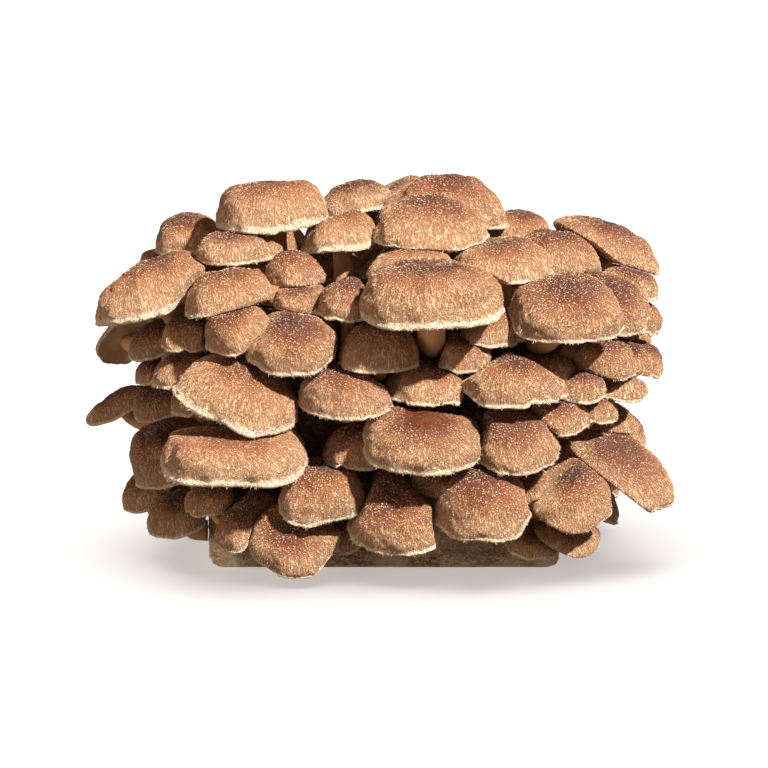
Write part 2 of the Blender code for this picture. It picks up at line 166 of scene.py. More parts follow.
# Small mushrooms that branch from a larger one's stem: the larger one's name, then as above.
SMALL_CAPS = [
    ("top_1", -77, -36, 170, 46, 0.52, 6, -20),
    ("back_1", -107, 12, 168, 38, 0.85, 14, -60),
    ("back_1", -121, 18, 155, 28, 0.80, 16, -80),
    ("top_3", -15, 20, 187, 42, 0.66, 12, -98),
    ("back_2", 4, 30, 190, 42, 0.70, 12, -98),
    ("back_3", 75, 26, 168, 38, 0.78, 6, 80),
    ("top_7", 133, -18, 148, 34, 0.65, 20, 60),
    ("side_1", 136, -14, 128, 32, 0.78, 20, 70),
    ("centre_1", -44, -74, 150, 30, 0.75, 22, 0),
    ("centre_9", 57, -76, 130, 34, 0.85, 6, 0),
    ("centre_6", -103, -64, 126, 32, 0.80, 8, -30),
    ("left_1", -142, 0, 116, 35, 0.40, 58, -140),
    ("left_1", -124, -34, 118, 30, 0.80, 25, -55),
    ("left_3", -124, -44, 103, 20, 0.90, 20, -70),
    ("left_4", -120, -48, 86, 30, 0.80, 18, -55),
    ("front_1", -100, -72, 92, 26, 0.80, 14, -30),
    ("low_3", -126, -30, 35, 34, 0.80, 22, -60),
    ("low_1", -92, -76, 40, 28, 0.85, 14, -25),
    ("centre_10", 86, -66, 109, 34, 0.65, 12, 60),
    ("right_3", 130, -38, 108, 28, 0.90, 18, 55),
    ("side_1", 139, -16, 105, 28, 0.85, 26, 78),
    ("right_4", 124, -50, 98, 36, 0.60, 10, 40),
    ("right_3", 104, -72, 101, 28, 0.85, 20, 13),
    ("right_4", 112, -62, 86, 26, 0.75, 12, 40),
    ("right_5", 122, -34, 75, 34, 0.50, 10, 60),
    ("right_6", 76, -78, 47, 30, 0.95, 30, -40),
    ("front_5", 28, -84, 54, 26, 0.60, 40, 0),
    ("front_8", -21, -72, 22, 28, 0.75, 24, 0),
    ("right_6", 97, -65, 21, 42, 0.50, 26, 30),
    ("back_2", -44, 66, 149, 34, 0.75, 14, -165),
    ("back_3", 16, 72, 151, 34, 0.75, 14, 180),
    ("back_8", 100, 70, 118, 34, 0.70, 20, 140),
    ("back_6", -84, 72, 116, 36, 0.70, 20, -160),
    ("back_7", -14, 90, 114, 32, 0.70, 20, 180),
    ("back_9", -104, 64, 52, 40, 0.70, 26, -140),
    ("back_13", -32, 84, 26, 36, 0.65, 28, 180),
    ("back_14", 34, 86, 24, 34, 0.65, 28, 180),
    ("back_12", 100, 66, 50, 40, 0.70, 26, 135),
    ("side_2", 112, 40, 30, 46, 0.60, 26, 110),
    ("side_4", -110, 44, 26, 42, 0.60, 26, -120),
    ("side_1", 118, 50, 92, 38, 0.70, 24, 110),
    ("side_2", 112, -16, 28, 36, 0.65, 28, 80),
    ("back_5", -116, 50, 88, 38, 0.70, 24, -110),
    ("side_4", -112, -2, 26, 38, 0.65, 26, -85),
    ("left_3", -120, -2, 86, 34, 0.70, 24, -85),
    ("top_1", -32, 8, 153, 44, 0.55, 4, 0),
    ("top_3", 8, -4, 153, 40, 0.60, 4, 0),
    ("top_6", 66, 2, 149, 42, 0.55, 4, 0),
    ("front_7", 80, -72, 19, 32, 0.55, 24, 5),
]

# What single caps show in the photo: how far the dark middle reaches, how red and how pale the cap is,
# how bare and glossy its middle, and how woolly its rim, from 0 to 1. Other caps draw theirs at random.
# A paleness near 1 also paints light onto a cap's gills.
LOOKS = {
    "top_1": (0.22, 0.4, 0.8, 0.5, 1.0),
    "top_2": (0.26, 0.4, 0.7, 0.0, 1.0),
    "top_3": (0.32, 0.6, 0.6, 0.3, 0.2),
    "top_4": (0.34, 0.5, 0.5, 0.0, 0.5),
    "top_5": (0.36, 0.6, 0.4, 0.1, 0.3),
    "top_6": (0.42, 0.7, 0.5, 0.2, 0.2),
    "top_7": (0.46, 0.6, 0.7, 0.4, 0.6),
    "right_1": (0.50, 0.6, 0.3, 0.1, 0.2),
    "right_2": (0.42, 0.4, 0.4, 0.0, 0.3),
    "right_3": (0.45, 0.4, 0.5, 0.0, 0.2),
    "right_4": (0.35, 0.4, 0.5, 0.0, 0.3),
    "right_5": (0.46, 0.8, 0.5, 0.5, 0.4),
    "right_6": (0.40, 0.5, 0.5, 0.2, 0.5),
    "centre_1": (0.25, 0.8, 0.5, 0.0, 0.2),
    "centre_2": (0.20, 0.3, 0.8, 0.0, 0.5),
    "centre_3": (0.50, 0.9, 0.5, 0.3, 0.4),
    "centre_4": (0.36, 0.5, 0.5, 0.0, 0.7),
    "centre_5": (0.42, 0.6, 0.5, 0.4, 0.8),
    "centre_6": (0.22, 0.3, 0.7, 0.0, 0.5),
    "centre_7": (0.28, 0.3, 0.6, 0.0, 0.5),
    "centre_8": (0.36, 0.4, 0.5, 0.1, 0.4),
    "centre_9": (0.48, 0.8, 0.4, 0.1, 0.4),
    "centre_10": (0.42, 0.7, 0.5, 0.0, 0.4),
    "centre_11": (0.36, 0.8, 0.5, 0.0, 0.3),
    "centre_12": (0.34, 0.6, 0.5, 0.0, 0.4),
    "left_1": (0.18, 0.3, 0.9, 0.0, 0.8),
    # small_12's paleness of 1.0 also paints light onto its gills in the gill finish.
    "small_12": (0.28, 0.3, 1.0, 0.0, 0.2),
    "left_2": (0.28, 0.3, 0.6, 0.0, 0.5),
    "left_3": (0.28, 0.4, 0.5, 0.0, 0.2),
    "left_4": (0.36, 0.5, 0.4, 0.0, 0.3),
    "front_1": (0.20, 0.3, 0.9, 0.0, 1.0),
    "front_2": (0.24, 0.3, 0.9, 0.0, 1.0),
    "front_3": (0.26, 0.6, 0.7, 0.0, 0.8),
    "front_4": (0.28, 0.6, 0.5, 0.0, 0.3),
    "front_5": (0.46, 0.5, 0.5, 1.0, 0.6),
    "front_6": (0.50, 0.9, 0.4, 0.6, 0.5),
    "front_7": (0.40, 0.6, 0.5, 0.0, 0.4),
    "front_8": (0.36, 0.6, 0.4, 0.0, 0.5),
    "low_1": (0.34, 1.0, 0.3, 0.1, 0.2),
    "low_2": (0.34, 1.0, 0.4, 0.1, 0.2),
    "low_3": (0.34, 1.0, 0.3, 0.2, 0.2),
}

# Folds and notches: cap name, direction round the cap in degrees (270 is towards the viewer when the
# turn is 0), width in degrees, depth over radius, and how far in from the rim it reaches (0 to 1).
FOLDS = [
    ("centre_12", 262, 16, 0.26, 0.95),
    ("centre_10", 325, 9, 0.16, 0.9),
    ("front_4", 250, 12, 0.24, 0.8),
    ("centre_4", 290, 6, 0.12, 0.35),
    ("centre_11", 250, 10, 0.06, 0.5),
    ("left_1", 200, 12, 0.12, 0.6),
    ("front_7", 300, 8, 0.07, 0.5),
    ("front_3", 240, 9, 0.10, 0.6),
    ("right_5", 235, 9, 0.10, 0.7),
    ("top_7", 60, 10, 0.12, 0.6),
    ("back_6", 250, 10, 0.14, 0.8),
    ("back_10", 300, 8, 0.12, 0.5),
    ("back_14", 262, 10, 0.16, 0.8),
]

# How square a cap's side view is, where it isn't left to chance: 2 is round, 1.5 nearly a cone.
SQUARENESS = {
    "top_1": 5.0, "top_3": 1.6, "top_4": 2.0, "top_5": 3.4, "centre_1": 2.4, "centre_3": 2.1,
    "centre_4": 4.2, "centre_5": 2.6, "centre_6": 3.0, "centre_8": 3.6, "centre_9": 2.4,
    "centre_11": 3.2, "right_2": 3.8, "right_5": 2.2, "right_6": 2.2, "left_1": 2.3, "left_3": 1.8,
    "front_1": 1.9, "front_2": 3.4, "front_3": 3.0, "front_5": 3.0, "front_6": 2.6, "front_7": 2.4,
    "front_8": 2.3, "low_1": 3.0, "low_2": 2.4, "top_7": 2.6,
}

# Stretched rims: cap name, direction round the cap and width in degrees, then how far the rim goes
# outwards and upwards, as shares of the radius.
TIPS = [
    ("left_1", 284, 34, 0.10, 0.06),
    ("left_1", 5, 26, 0.06, 0.0),
    ("left_3", 268, 26, 0.22, 0.10),
    ("left_3", 200, 40, -0.16, 0.0),
    ("left_3", 340, 40, -0.16, 0.0),
    ("front_1", 150, 24, 0.20, 0.02),
    ("front_1", 250, 30, 0.08, -0.06),
    ("front_2", 225, 24, 0.10, 0.0),
    ("front_2", 318, 24, 0.10, 0.0),
    ("front_2", 272, 22, -0.05, 0.03),
    ("top_1", 180, 26, 0.05, -0.05),
    ("top_7", 265, 24, 0.08, 0.14),
    ("top_7", 90, 40, 0.02, 0.10),
    ("right_5", 300, 26, 0.10, 0.0),
    ("right_5", 20, 28, -0.12, -0.04),
    ("right_2", 215, 22, 0.08, -0.05),
    ("right_2", 325, 22, 0.08, -0.05),
    ("centre_4", 215, 26, 0.06, -0.04),
    ("centre_4", 325, 26, 0.06, 0.02),
    ("top_3", 350, 30, 0.05, -0.05),
    ("front_3", 235, 24, 0.10, -0.05),
    ("front_3", 310, 24, 0.10, 0.02),
    ("low_1", 235, 26, 0.10, 0.0),
    ("low_1", 310, 26, 0.10, 0.0),
    ("centre_8", 225, 26, 0.08, -0.06),
    ("centre_8", 312, 26, 0.10, -0.02),
]


class ShiitakeSizes(bpy.types.PropertyGroup):
    """Sizes that change how the mushrooms' skin and fibres look."""

    fibril_length: FloatProperty(
        name="Fibril length", description="Length of the fibrils that lie on the caps",
        default=0.0019, unit="LENGTH", precision=4)
    fibril_width: FloatProperty(
        name="Fibril width", description="Width of a fibril where it leaves the skin",
        default=0.00027, unit="LENGTH", precision=5)
    fibril_density: FloatProperty(
        name="Fibril density", description="Fibrils in each square metre of cap", default=250000.0)
    scale_density: FloatProperty(
        name="Scale density", description="Pale scales in each square metre of cap", default=270000.0)
    fringe_length: FloatProperty(
        name="Fringe length", description="Length of the woolly threads at a cap's rim",
        default=0.0013, unit="LENGTH", precision=4)
    fringe_density: FloatProperty(
        name="Fringe density", description="Threads in each square metre of rim", default=700000.0)
    seed: IntProperty(name="Seed", description="Chooses the random shapes", default=7)


class ShiitakeColours(bpy.types.PropertyGroup):
    """Colours of the caps, stems and block, as linear values."""

    tan: FloatVectorProperty(
        name="Cap sides", description="Streaked sides of the caps", subtype="COLOR",
        default=(0.70, 0.312, 0.120))
    brown: FloatVectorProperty(
        name="Cap tops", description="Skin between the pale flakes on top", subtype="COLOR",
        default=(0.30, 0.098, 0.034))
    chestnut: FloatVectorProperty(
        name="Cap middles", description="Darkest middle of the caps", subtype="COLOR",
        default=(0.15, 0.038, 0.014))
    cream: FloatVectorProperty(
        name="Rim", description="Margin, flakes and fringe", subtype="COLOR", default=(0.95, 0.70, 0.47))
    gill: FloatVectorProperty(
        name="Gills", description="Underside of the caps", subtype="COLOR", default=(0.74, 0.46, 0.22))
    stem: FloatVectorProperty(
        name="Stems", description="Fibrous stems", subtype="COLOR", default=(0.62, 0.36, 0.18))
    sawdust: FloatVectorProperty(
        name="Sawdust", description="Brown of the block", subtype="COLOR", default=(0.27, 0.120, 0.045))
    mycelium: FloatVectorProperty(
        name="Mycelium", description="White threads on the block", subtype="COLOR",
        default=(0.72, 0.62, 0.47))


def unit(vectors):
    return vectors / np.maximum(np.linalg.norm(vectors, axis=-1, keepdims=True), 1e-9)


def smooth_step(low, high, values):
    t = np.clip((values - low) / (high - low), 0, 1)
    return t * t * (3 - 2 * t)


def spread_directions(count):
    """Unit vectors spread evenly over a sphere."""
    step = np.arange(count) + 0.5
    height = 1 - 2 * step / count
    ring = np.sqrt(1 - height**2)
    angle = step * math.pi * (3 - math.sqrt(5))
    return np.stack([ring * np.cos(angle), ring * np.sin(angle), height], axis=1)


class Mushroom:
    """One cap and its stem, from a row of the tables."""

    def __init__(self, name, x, y, height, width, dome, lean, turn, parent=None):
        lean, turn = math.radians(lean), math.radians(turn)
        self.name = name
        self.parent = parent
        self.radius = width / 2
        self.dome = dome * self.radius
        self.stem = min(max(STEM_SHARE * self.radius, STEM_LEAST), STEM_MOST)
        if parent:
            self.stem = min(self.stem, SMALL_STEM_SHARE * parent.stem)
        self.centre = np.array([x, y, height], float)
        self.axis = np.array([
            math.sin(lean) * math.sin(turn),
            -math.sin(lean) * math.cos(turn),
            math.cos(lean),
        ])
        self.across = np.array([math.cos(turn), math.sin(turn), 0.0])
        self.along = np.cross(self.axis, self.across)
        self.middle = self.centre + self.axis * MIDDLE_HEIGHT * self.dome
        self.planes = []

    def choose_root(self):
        """The foot stands on the nearest face of the block, or on the larger mushroom's stem."""
        half = BLOCK_SIZE / 2
        place = self.centre - BLOCK_MIDDLE
        side = int(np.argmax(np.abs(place) - half))
        self.face = np.zeros(3)
        self.face[side] = math.copysign(1, place[side])
        if self.parent:
            self.root = self.parent.stem_points(np.array([BRANCH_AT]))[0][0]
            self.outward = unit(self.centre - self.axis * ROOT_BELOW * self.radius - self.root)
            return
        below = place - self.axis * ROOT_BELOW * self.radius
        root = np.clip(below, ROOT_MARGIN - half, half - ROOT_MARGIN)
        root[side] = self.face[side] * (half[side] + GAP)
        self.root = root + BLOCK_MIDDLE
        self.outward = self.face

    def stem_points(self, s):
        """Middle of the stem and its two cross axes, with s from 0 at the neck to 1 at the foot."""
        s = s[:, None]
        reach = np.linalg.norm(self.centre - self.root)
        a = self.centre
        b = a - self.axis * NECK_BEND * reach
        c = self.root + self.outward * FOOT_BEND * reach
        t = 1 - s
        point = t**3 * a + 3 * t * t * s * b + 3 * t * s * s * c + s**3 * self.root
        up = unit(t * self.axis + s * self.outward)
        across = unit(self.across - up * (up @ self.across)[:, None])
        return point, across, np.cross(up, across)

    def on_cap(self, points):
        x, y, z = points[..., 0:1], points[..., 1:2], points[..., 2:3]
        return self.centre + x * self.across + y * self.along + z * self.axis

    def ring(self, radius, height, count=HULL_SIDES):
        angles = np.arange(count) * 2 * math.pi / count
        flat = np.full(count, height, float)
        return np.stack([radius * np.cos(angles), radius * np.sin(angles), flat], axis=1)

    def cap_hull(self):
        r, h = self.radius, self.dome
        rows = [(0.05 * r, h), (0.55 * r, 0.86 * h), (0.9 * r, 0.45 * h), (r, 0), (0.93 * r, -LIP * r)]
        return self.on_cap(np.concatenate([self.ring(*row) for row in rows]))

    def core(self):
        """What pressing must not reach: the middle of the cap and the neck."""
        return np.concatenate([[self.middle], self.on_cap(self.ring(self.stem, 0))])

    def stem_hulls(self):
        """Rings of the stem, in pairs."""
        stops = np.linspace(0, 1, 4)
        middles, across, along = self.stem_points(stops)
        circle = self.ring(self.stem, 0)
        rings = [m + circle[:, :1] * u + circle[:, 1:2] * v for m, u, v in zip(middles, across, along)]
        return [np.concatenate(pair) for pair in zip(rings, rings[1:])]


def read_tables():
    mushrooms = [Mushroom(*row) for row in MAIN_CAPS]
    by_name = {m.name: m for m in mushrooms}
    for number, (parent, *row) in enumerate(SMALL_CAPS, 1):
        mushrooms.append(Mushroom(f"small_{number}", *row, parent=by_name[parent]))
    return mushrooms


def spread_roots(mushrooms):
    """Feet on one face of the block are pushed apart, for a fixed number of rounds."""
    low = BLOCK_LOW + ROOT_MARGIN
    high = BLOCK_HIGH - ROOT_MARGIN
    for _ in range(ROOT_ROUNDS):
        for a in mushrooms:
            for b in mushrooms:
                if a is b or np.dot(a.face, b.face) < 1:
                    continue
                apart = b.root - a.root
                distance = np.linalg.norm(apart)
                wanted = (a.stem + b.stem) * STEM_FLARE + ROOT_SPACING
                if distance < wanted:
                    push = (wanted - distance) / 2 * apart / max(distance, LEAST)
                    a.root = a.root - push
                    b.root = b.root + push
        for m in mushrooms:
            m.root = np.where(m.face == 0, np.clip(m.root, low, high), m.root)


def dividing_plane(a_reach, a_core, b_reach, b_core, b_gives):
    """The plane that presses two caps least: its direction's number and its place, or None."""
    a_far = a_reach[1]
    b_near = b_reach[0]
    depth = a_far - b_near
    if depth.min() < -GAP:
        return None
    least = a_core[1] + CORE_MARGIN
    most = b_core[0] - CORE_MARGIN
    spare = most - least
    best = int(np.argmin(np.where(spare > GAP, depth, 1000 - spare)))
    place = a_far[best] + GAP / 2 - (1 - b_gives) * (depth[best] + GAP)
    return best, min(max(place, least[best] + GAP / 2), most[best] - GAP / 2)


def reach(points, directions):
    """How far points go along each direction: the least and the most."""
    along = points @ directions.T
    return along.min(axis=0), along.max(axis=0)


def press_neighbours(mushrooms):
    """Gives each cap the planes that keep it clear of its neighbours, their stems and the block."""
    directions = spread_directions(DIRECTIONS)
    caps = [reach(m.cap_hull(), directions) for m in mushrooms]
    cores = [reach(m.core(), directions) for m in mushrooms]
    stems = [[reach(hull, directions) for hull in m.stem_hulls()] for m in mushrooms]
    for i, a in enumerate(mushrooms):
        for j, b in enumerate(mushrooms):
            near = np.linalg.norm(a.centre - b.centre) < a.radius + b.radius + REACH
            if j > i and near:
                lead = (a.centre - b.centre) @ (0, -FRONT_COUNTS, 1)
                b_gives = min(max(0.5 + lead / KEEPS_SHAPE, 0), 1)
                found = dividing_plane(caps[i], cores[i], caps[j], cores[j], b_gives)
                if found:
                    normal, place = directions[found[0]], found[1]
                    a.planes.append((normal, place - GAP / 2))
                    b.planes.append((-normal, -place - GAP / 2))
            if i == j:
                continue
            for stem in stems[j]:
                found = dividing_plane(caps[i], cores[i], stem, stem, 0)
                if found:
                    a.planes.append((directions[found[0]], found[1] - GAP / 2))
        surface = np.dot(BLOCK_MIDDLE, a.face) + np.dot(BLOCK_SIZE / 2, np.abs(a.face))
        a.planes.append((-a.face, -(surface + GAP)))
        a.planes.append((np.array([0, 0, -1.0]), -FLOOR_CLEARANCE))


def grow_all():
    """Every mushroom, with its foot and the planes that press it."""
    mushrooms = read_tables()
    mains = [m for m in mushrooms if not m.parent]
    for m in mains:
        m.choose_root()
    spread_roots(mains)
    for m in mushrooms:
        if m.parent:
            m.choose_root()
    press_neighbours(mushrooms)
    return mushrooms


def wavy(angles, rng, waves):
    """A smooth closed wave round the cap, from how often each wave comes round and its size."""
    total = np.zeros_like(angles)
    for count, size in waves:
        total += size * rng.normal() * np.cos(count * angles + rng.uniform(0, 2 * math.pi))
    return total


def turned(angles, where):
    """The angles measured from a direction in degrees, from minus to plus half a turn."""
    return (angles - math.radians(where) + math.pi) % (2 * math.pi) - math.pi


def grain(points, width, shift):
    """Noise with lumps of that width."""
    return np.array([noise.noise(Vector(p) / width + shift) for p in points])


SKIN, GILLS, STEM = 0, 1, 2
SPACING = 1.3  # between the points of a cap's skin
LEAST_COLUMNS, MOST_COLUMNS = 48, 168
BEAD_ROWS = 8  # round the rolled rim
GILL_ROWS = 8
STEM_ROWS = 10
RIM_AT = 0.9  # the dome's share of the way from the top to the gills
BEAD_LEAST = 0.55
BEAD_SHARES = (0.012, 0.022)  # of the radius, for a plain rim and what wool adds
BEAD_START, BEAD_TURN = 60.0, 200.0  # degrees
DOME_BEND = 0.54  # how quickly the dome turns down into its side
SQUARE_RANGE = (2.2, 3.6)
ARCHED = 0.08  # rise of the gills between rim and stem, over the radius
OUT_WAVES = ((2, 0.035), (3, 0.026), (4, 0.022), (5, 0.014), (7, 0.011))  # of the rim, over the radius
HANG_WAVES = ((2, 0.018), (3, 0.020), (5, 0.014), (8, 0.010))
SCALLOPS = (0.16, 0.14, 0.10)
SKEW = 0.07  # how far a dome's top strays from the middle, over the radius
NICKS = 6
NICK_WIDTHS = (1.0, 2.2)
NICK_DEPTH = 1.3
RIM_FADE = 0.16  # how far in from the rim a nick reaches
STEM_WAVES = ((2, 0.10), (3, 0.06), (4, 0.05))
STEM_START = 0.04
NECK_FLARE, NECK_REACH = 0.25, 0.2
SOFTENED = 3  # rounds of smoothing along the edges of a pressed face
LUMPS = ((4.2, 0.55), (1.5, 0.34), (8.0, 0.8))  # width and height of the medium, fine and wide ones
BROAD_LUMP = (13.0, 0.07)  # its height is over the radius
RIM_GRAIN = 0.2  # more fine lumps there
TUFT_WAVES = (3, 7)


class Surface:
    """Rows of points from a cap's top to its stem's foot, with what the finishes read."""

    def __init__(self, mushroom, rng):
        self.m = mushroom
        self.rng = rng
        around = 2 * math.pi * mushroom.radius / SPACING
        self.columns = int(np.clip(around, LEAST_COLUMNS, MOST_COLUMNS))
        self.angles = np.arange(self.columns) * 2 * math.pi / self.columns
        self.look = self.choose_look()
        self.rows = []
        self.kinds = []
        self.spans = []
        self.shape_cap()
        self.press()
        self.shape_stem()

    def choose_look(self):
        drawn = (
            self.rng.uniform(0.30, 0.60),
            self.rng.uniform(0.1, 0.8),
            self.rng.uniform(0.3, 0.7),
            self.rng.uniform(0, 0.35),
            self.rng.uniform(0.1, 0.8),
        )
        return LOOKS.get(self.m.name, drawn)

    def profile(self):
        """Radius, height, share of the way out and kind, row by row, for a round cap."""
        m = self.m
        share = BEAD_SHARES[0] + BEAD_SHARES[1] * self.look[4]
        bead = min(BEAD_LEAST + share * m.radius, LIP * m.radius / 2)
        squareness = SQUARENESS.get(m.name, self.rng.uniform(*SQUARE_RANGE))
        side = m.radius - 0.35 * bead
        wall = LIP * m.radius - 1.9 * bead
        dome_rows = int(max(16, (m.dome + m.radius) * 0.95 / SPACING))
        rows = []
        for k in range(1, dome_rows + 1):
            t = math.sin(0.5 * math.pi * (k / dome_rows) ** 0.9)
            rows.append((t * side, (m.dome + wall) * (1 - t**squareness) ** DOME_BEND - wall, 0, SKIN))
        top = np.array([(0, m.dome)] + [row[:2] for row in rows])
        way = np.cumsum(np.linalg.norm(np.diff(top, axis=0), axis=1))
        rows = [(r, z, RIM_AT * far / way[-1], kind) for (r, z, _, kind), far in zip(rows, way)]
        for k in range(1, BEAD_ROWS + 1):
            a = math.radians(BEAD_START - BEAD_TURN * k / BEAD_ROWS)
            r = m.radius - bead + bead * math.cos(a)
            z = bead * (math.sin(a) - 0.9) - wall
            rows.append((r, z, RIM_AT + (1 - RIM_AT) * k / BEAD_ROWS, SKIN))
        inner, low = rows[-1][0], rows[-1][1]
        for k in range(1, GILL_ROWS + 1):
            t = k / GILL_ROWS
            r = inner + (m.stem - inner) * t
            arch = ARCHED * m.radius * math.sin(math.pi * t)
            rows.append((r, low * (1 - t) ** 2 + arch, 1 - t, GILLS))
        return rows

    def shape_cap(self):
        m, rng, angles = self.m, self.rng, self.angles
        out = wavy(angles, rng, OUT_WAVES)
        hang = m.radius * wavy(angles, rng, HANG_WAVES)
        for name, where, width, outward, upward in TIPS:
            if name == m.name:
                near = np.exp(-(turned(angles, where) / math.radians(width)) ** 2)
                out = out + outward * near
                hang = hang + upward * m.radius * near
        nicks = np.zeros_like(angles)
        places, widths = rng.uniform(0, 360, NICKS), rng.uniform(*NICK_WIDTHS, NICKS)
        for where, width, depth in zip(places, widths, rng.uniform(0, 1, NICKS)):
            nicks += depth**2 * np.exp(-(turned(angles, where) * m.radius / width) ** 2)
        teeth = int(m.radius * 1.1)
        scallop = wavy(angles, rng, zip((teeth // 2, teeth // 2 + 4, teeth + 5), SCALLOPS))
        scallop *= 0.6 + 1.2 * self.look[4]
        scallop *= 0.6 + 0.4 * wavy(angles, rng, ((3, 0.7), (5, 0.7)))
        skew = rng.normal(0, SKEW, 2) * m.radius
        for r, z, share, kind in self.profile():
            weight = (r / m.radius) ** 2
            wide = 1 + out * weight
            height = z + hang * weight
            shift = np.zeros(2)
            if kind == SKIN:
                shift = skew * max(z, 0) / max(m.dome, 1)
                at_rim = smooth_step(RIM_AT - 0.03, RIM_AT + 0.02, share)
                bite = smooth_step(RIM_AT - RIM_FADE, RIM_AT, share) * nicks * NICK_DEPTH
                wide = wide + (scallop * at_rim - bite * 0.8) / m.radius
                height = height + scallop * at_rim * 0.7 + bite
            for name, where, width, depth, inward in FOLDS:
                if name == m.name:
                    groove = depth * np.exp(-(turned(angles, where) / math.radians(width)) ** 2)
                    groove = groove * smooth_step(1 - inward, 1.05, r / m.radius)
                    wide = wide * (1 - groove * 0.55)
                    height = height - groove * m.radius * 0.5 * (z > 0)
            x = r * np.cos(angles) * wide + shift[0]
            y = r * np.sin(angles) * wide + shift[1]
            self.rows.append(m.on_cap(np.stack([x, y, height], axis=1)))
            self.kinds.append(kind)
            self.spans.append(share)
        self.lumps()

    def lumps(self):
        """Soft dents and bumps, and a knobbly grain, across the skin."""
        m = self.m
        shift = Vector(self.rng.uniform(-90, 90, 3))
        for number, (row, kind) in enumerate(zip(self.rows, self.kinds)):
            if kind != SKIN:
                continue
            rim = smooth_step(RIM_AT - 0.05, RIM_AT, self.spans[number])
            outward = unit(row - (m.centre - m.axis * 0.2 * m.radius))
            (medium, medium_height), (fine, fine_height), (wide, wide_height) = LUMPS
            lift = BROAD_LUMP[1] * m.radius * grain(row, BROAD_LUMP[0], shift)
            lift += medium_height * grain(row, medium, shift)
            lift += (fine_height + RIM_GRAIN * rim) * grain(row, fine, shift)
            lift += wide_height * grain(row, wide, -shift)
            self.rows[number] = row + outward * lift[:, None]

    def press(self):
        """Draws the cap in behind every plane, with the edges of the pressed faces softened."""
        m = self.m
        grid = np.array(self.rows)
        step = grid - m.middle
        share = np.ones(grid.shape[:2])
        for normal, limit in m.planes:
            far = step @ normal
            room = limit - np.dot(normal, m.middle)
            share = np.minimum(share, np.where(far > room, room / np.maximum(far, 1e-6), 1))
        soft = share.copy()
        for _ in range(SOFTENED):
            up = np.vstack([soft[:1], soft[:-1]])
            down = np.vstack([soft[1:], soft[-1:]])
            soft = (soft * 2 + up + down + np.roll(soft, 1, axis=1) + np.roll(soft, -1, axis=1)) / 6
        share = np.minimum(share, soft)
        gills = np.array(self.kinds) == GILLS
        neck = np.linspace(1, 0, GILL_ROWS)[:, None]
        share[gills] = 1 - (1 - share[gills]) * neck
        self.rows = list(m.middle + share[..., None] * step)

    def shape_stem(self):
        m, rng = self.m, self.rng
        stops = np.linspace(STEM_START, 1, STEM_ROWS)
        middles, across, along = m.stem_points(stops)
        bulge = wavy(self.angles, rng, STEM_WAVES)
        for k, s in enumerate(stops):
            flare = 1 if m.parent else 1 + (STEM_FLARE - 1) * s
            neck = 1 + NECK_FLARE * max(0, NECK_REACH - s) / NECK_REACH
            r = m.stem * flare * neck * (1 + bulge * math.sin(math.pi * min(s + 0.1, 1)))
            ring = middles[k] + (r * np.cos(self.angles))[:, None] * across[k]
            ring = ring + (r * np.sin(self.angles))[:, None] * along[k]
            if not m.parent:
                inside = np.minimum((ring - m.root) @ m.outward, 0)
                ring = ring - inside[:, None] * m.outward
            self.rows.append(ring)
            self.kinds.append(STEM)
            self.spans.append(s)

    def mesh_data(self):
        """Points, faces and values for one closed skin."""
        count = self.columns
        grid = np.array(self.rows)
        top = self.m.on_cap(np.array([[0, 0, self.m.dome]]))[0]
        top = (self.rows[0].mean(axis=0) + unit(top - self.m.middle) * 0.02)[None]
        foot = self.rows[-1].mean(axis=0)[None]
        points = np.concatenate([top, grid.reshape(-1, 3), foot])
        faces = []
        slots = []
        for c in range(count):
            faces.append((0, 1 + c, 1 + (c + 1) % count))
            slots.append(SKIN)
        for r in range(len(grid) - 1):
            a = 1 + r * count
            b = a + count
            for c in range(count):
                d = (c + 1) % count
                faces.append((a + c, b + c, b + d, a + d))
                slots.append(self.kinds[r + 1])
        last = 1 + (len(grid) - 1) * count
        for c in range(count):
            faces.append((last + (c + 1) % count, last + c, len(points) - 1))
            slots.append(STEM)
        return points, faces, slots, self.values(grid)

    def values(self, grid):
        """Per point: place on the cap, look, how it is furred, and the way its fibres lie."""
        count = self.columns
        spans = np.repeat(np.array(self.spans), count)
        kinds = np.repeat(np.array(self.kinds), count)
        angles = np.tile(self.angles, len(grid))
        step = np.linalg.norm(np.diff(grid, axis=0), axis=2).mean(axis=1)
        down = np.repeat(np.concatenate([[0], np.cumsum(step)]), count)
        wide = np.where(kinds == STEM, self.m.stem, self.m.radius)
        place = np.stack([wide * np.cos(angles), wide * np.sin(angles), down], axis=1)
        flow = np.empty_like(grid)
        flow[:-1] = grid[1:] - grid[:-1]
        flow[-1] = flow[-2]
        flow = unit(flow.reshape(-1, 3))
        skin = kinds == SKIN
        dark = self.look[0]
        bare = self.look[3] * (1 - smooth_step(dark * 0.4, dark * 0.8, spans))
        furred = np.where(skin, smooth_step(dark * 0.5, dark * 1.6, spans), 0)
        furred = furred * (1 - smooth_step(RIM_AT - 0.05, RIM_AT - 0.01, spans))
        scaly = (1 - 0.75 * smooth_step(dark * 1.1, dark * 1.1 + 0.4, spans)) * (1 - bare)
        scaly = np.where(skin & (spans < RIM_AT - 0.02), scaly, 0)
        at_rim = smooth_step(RIM_AT - 0.02, RIM_AT + 0.01, spans)
        fringed = np.where(skin, at_rim * (1 - smooth_step(RIM_AT + 0.05, RIM_AT + 0.07, spans)), 0)
        few, many = (np.sin(count * angles + start * 9) for count, start in zip(TUFT_WAVES, self.look[1:3]))
        tufts = few * many
        fringed = fringed * np.clip(0.3 + 0.9 * tufts, 0.12, 1)
        outward = unit(grid.reshape(-1, 3) - self.m.middle)
        hanging = unit(-self.m.axis * 0.45 + outward)
        look = np.tile(np.array(self.look[:3]), (len(spans), 1))
        gloss = np.full(len(spans), self.look[3])
        woolly = np.full(len(spans), self.look[4])
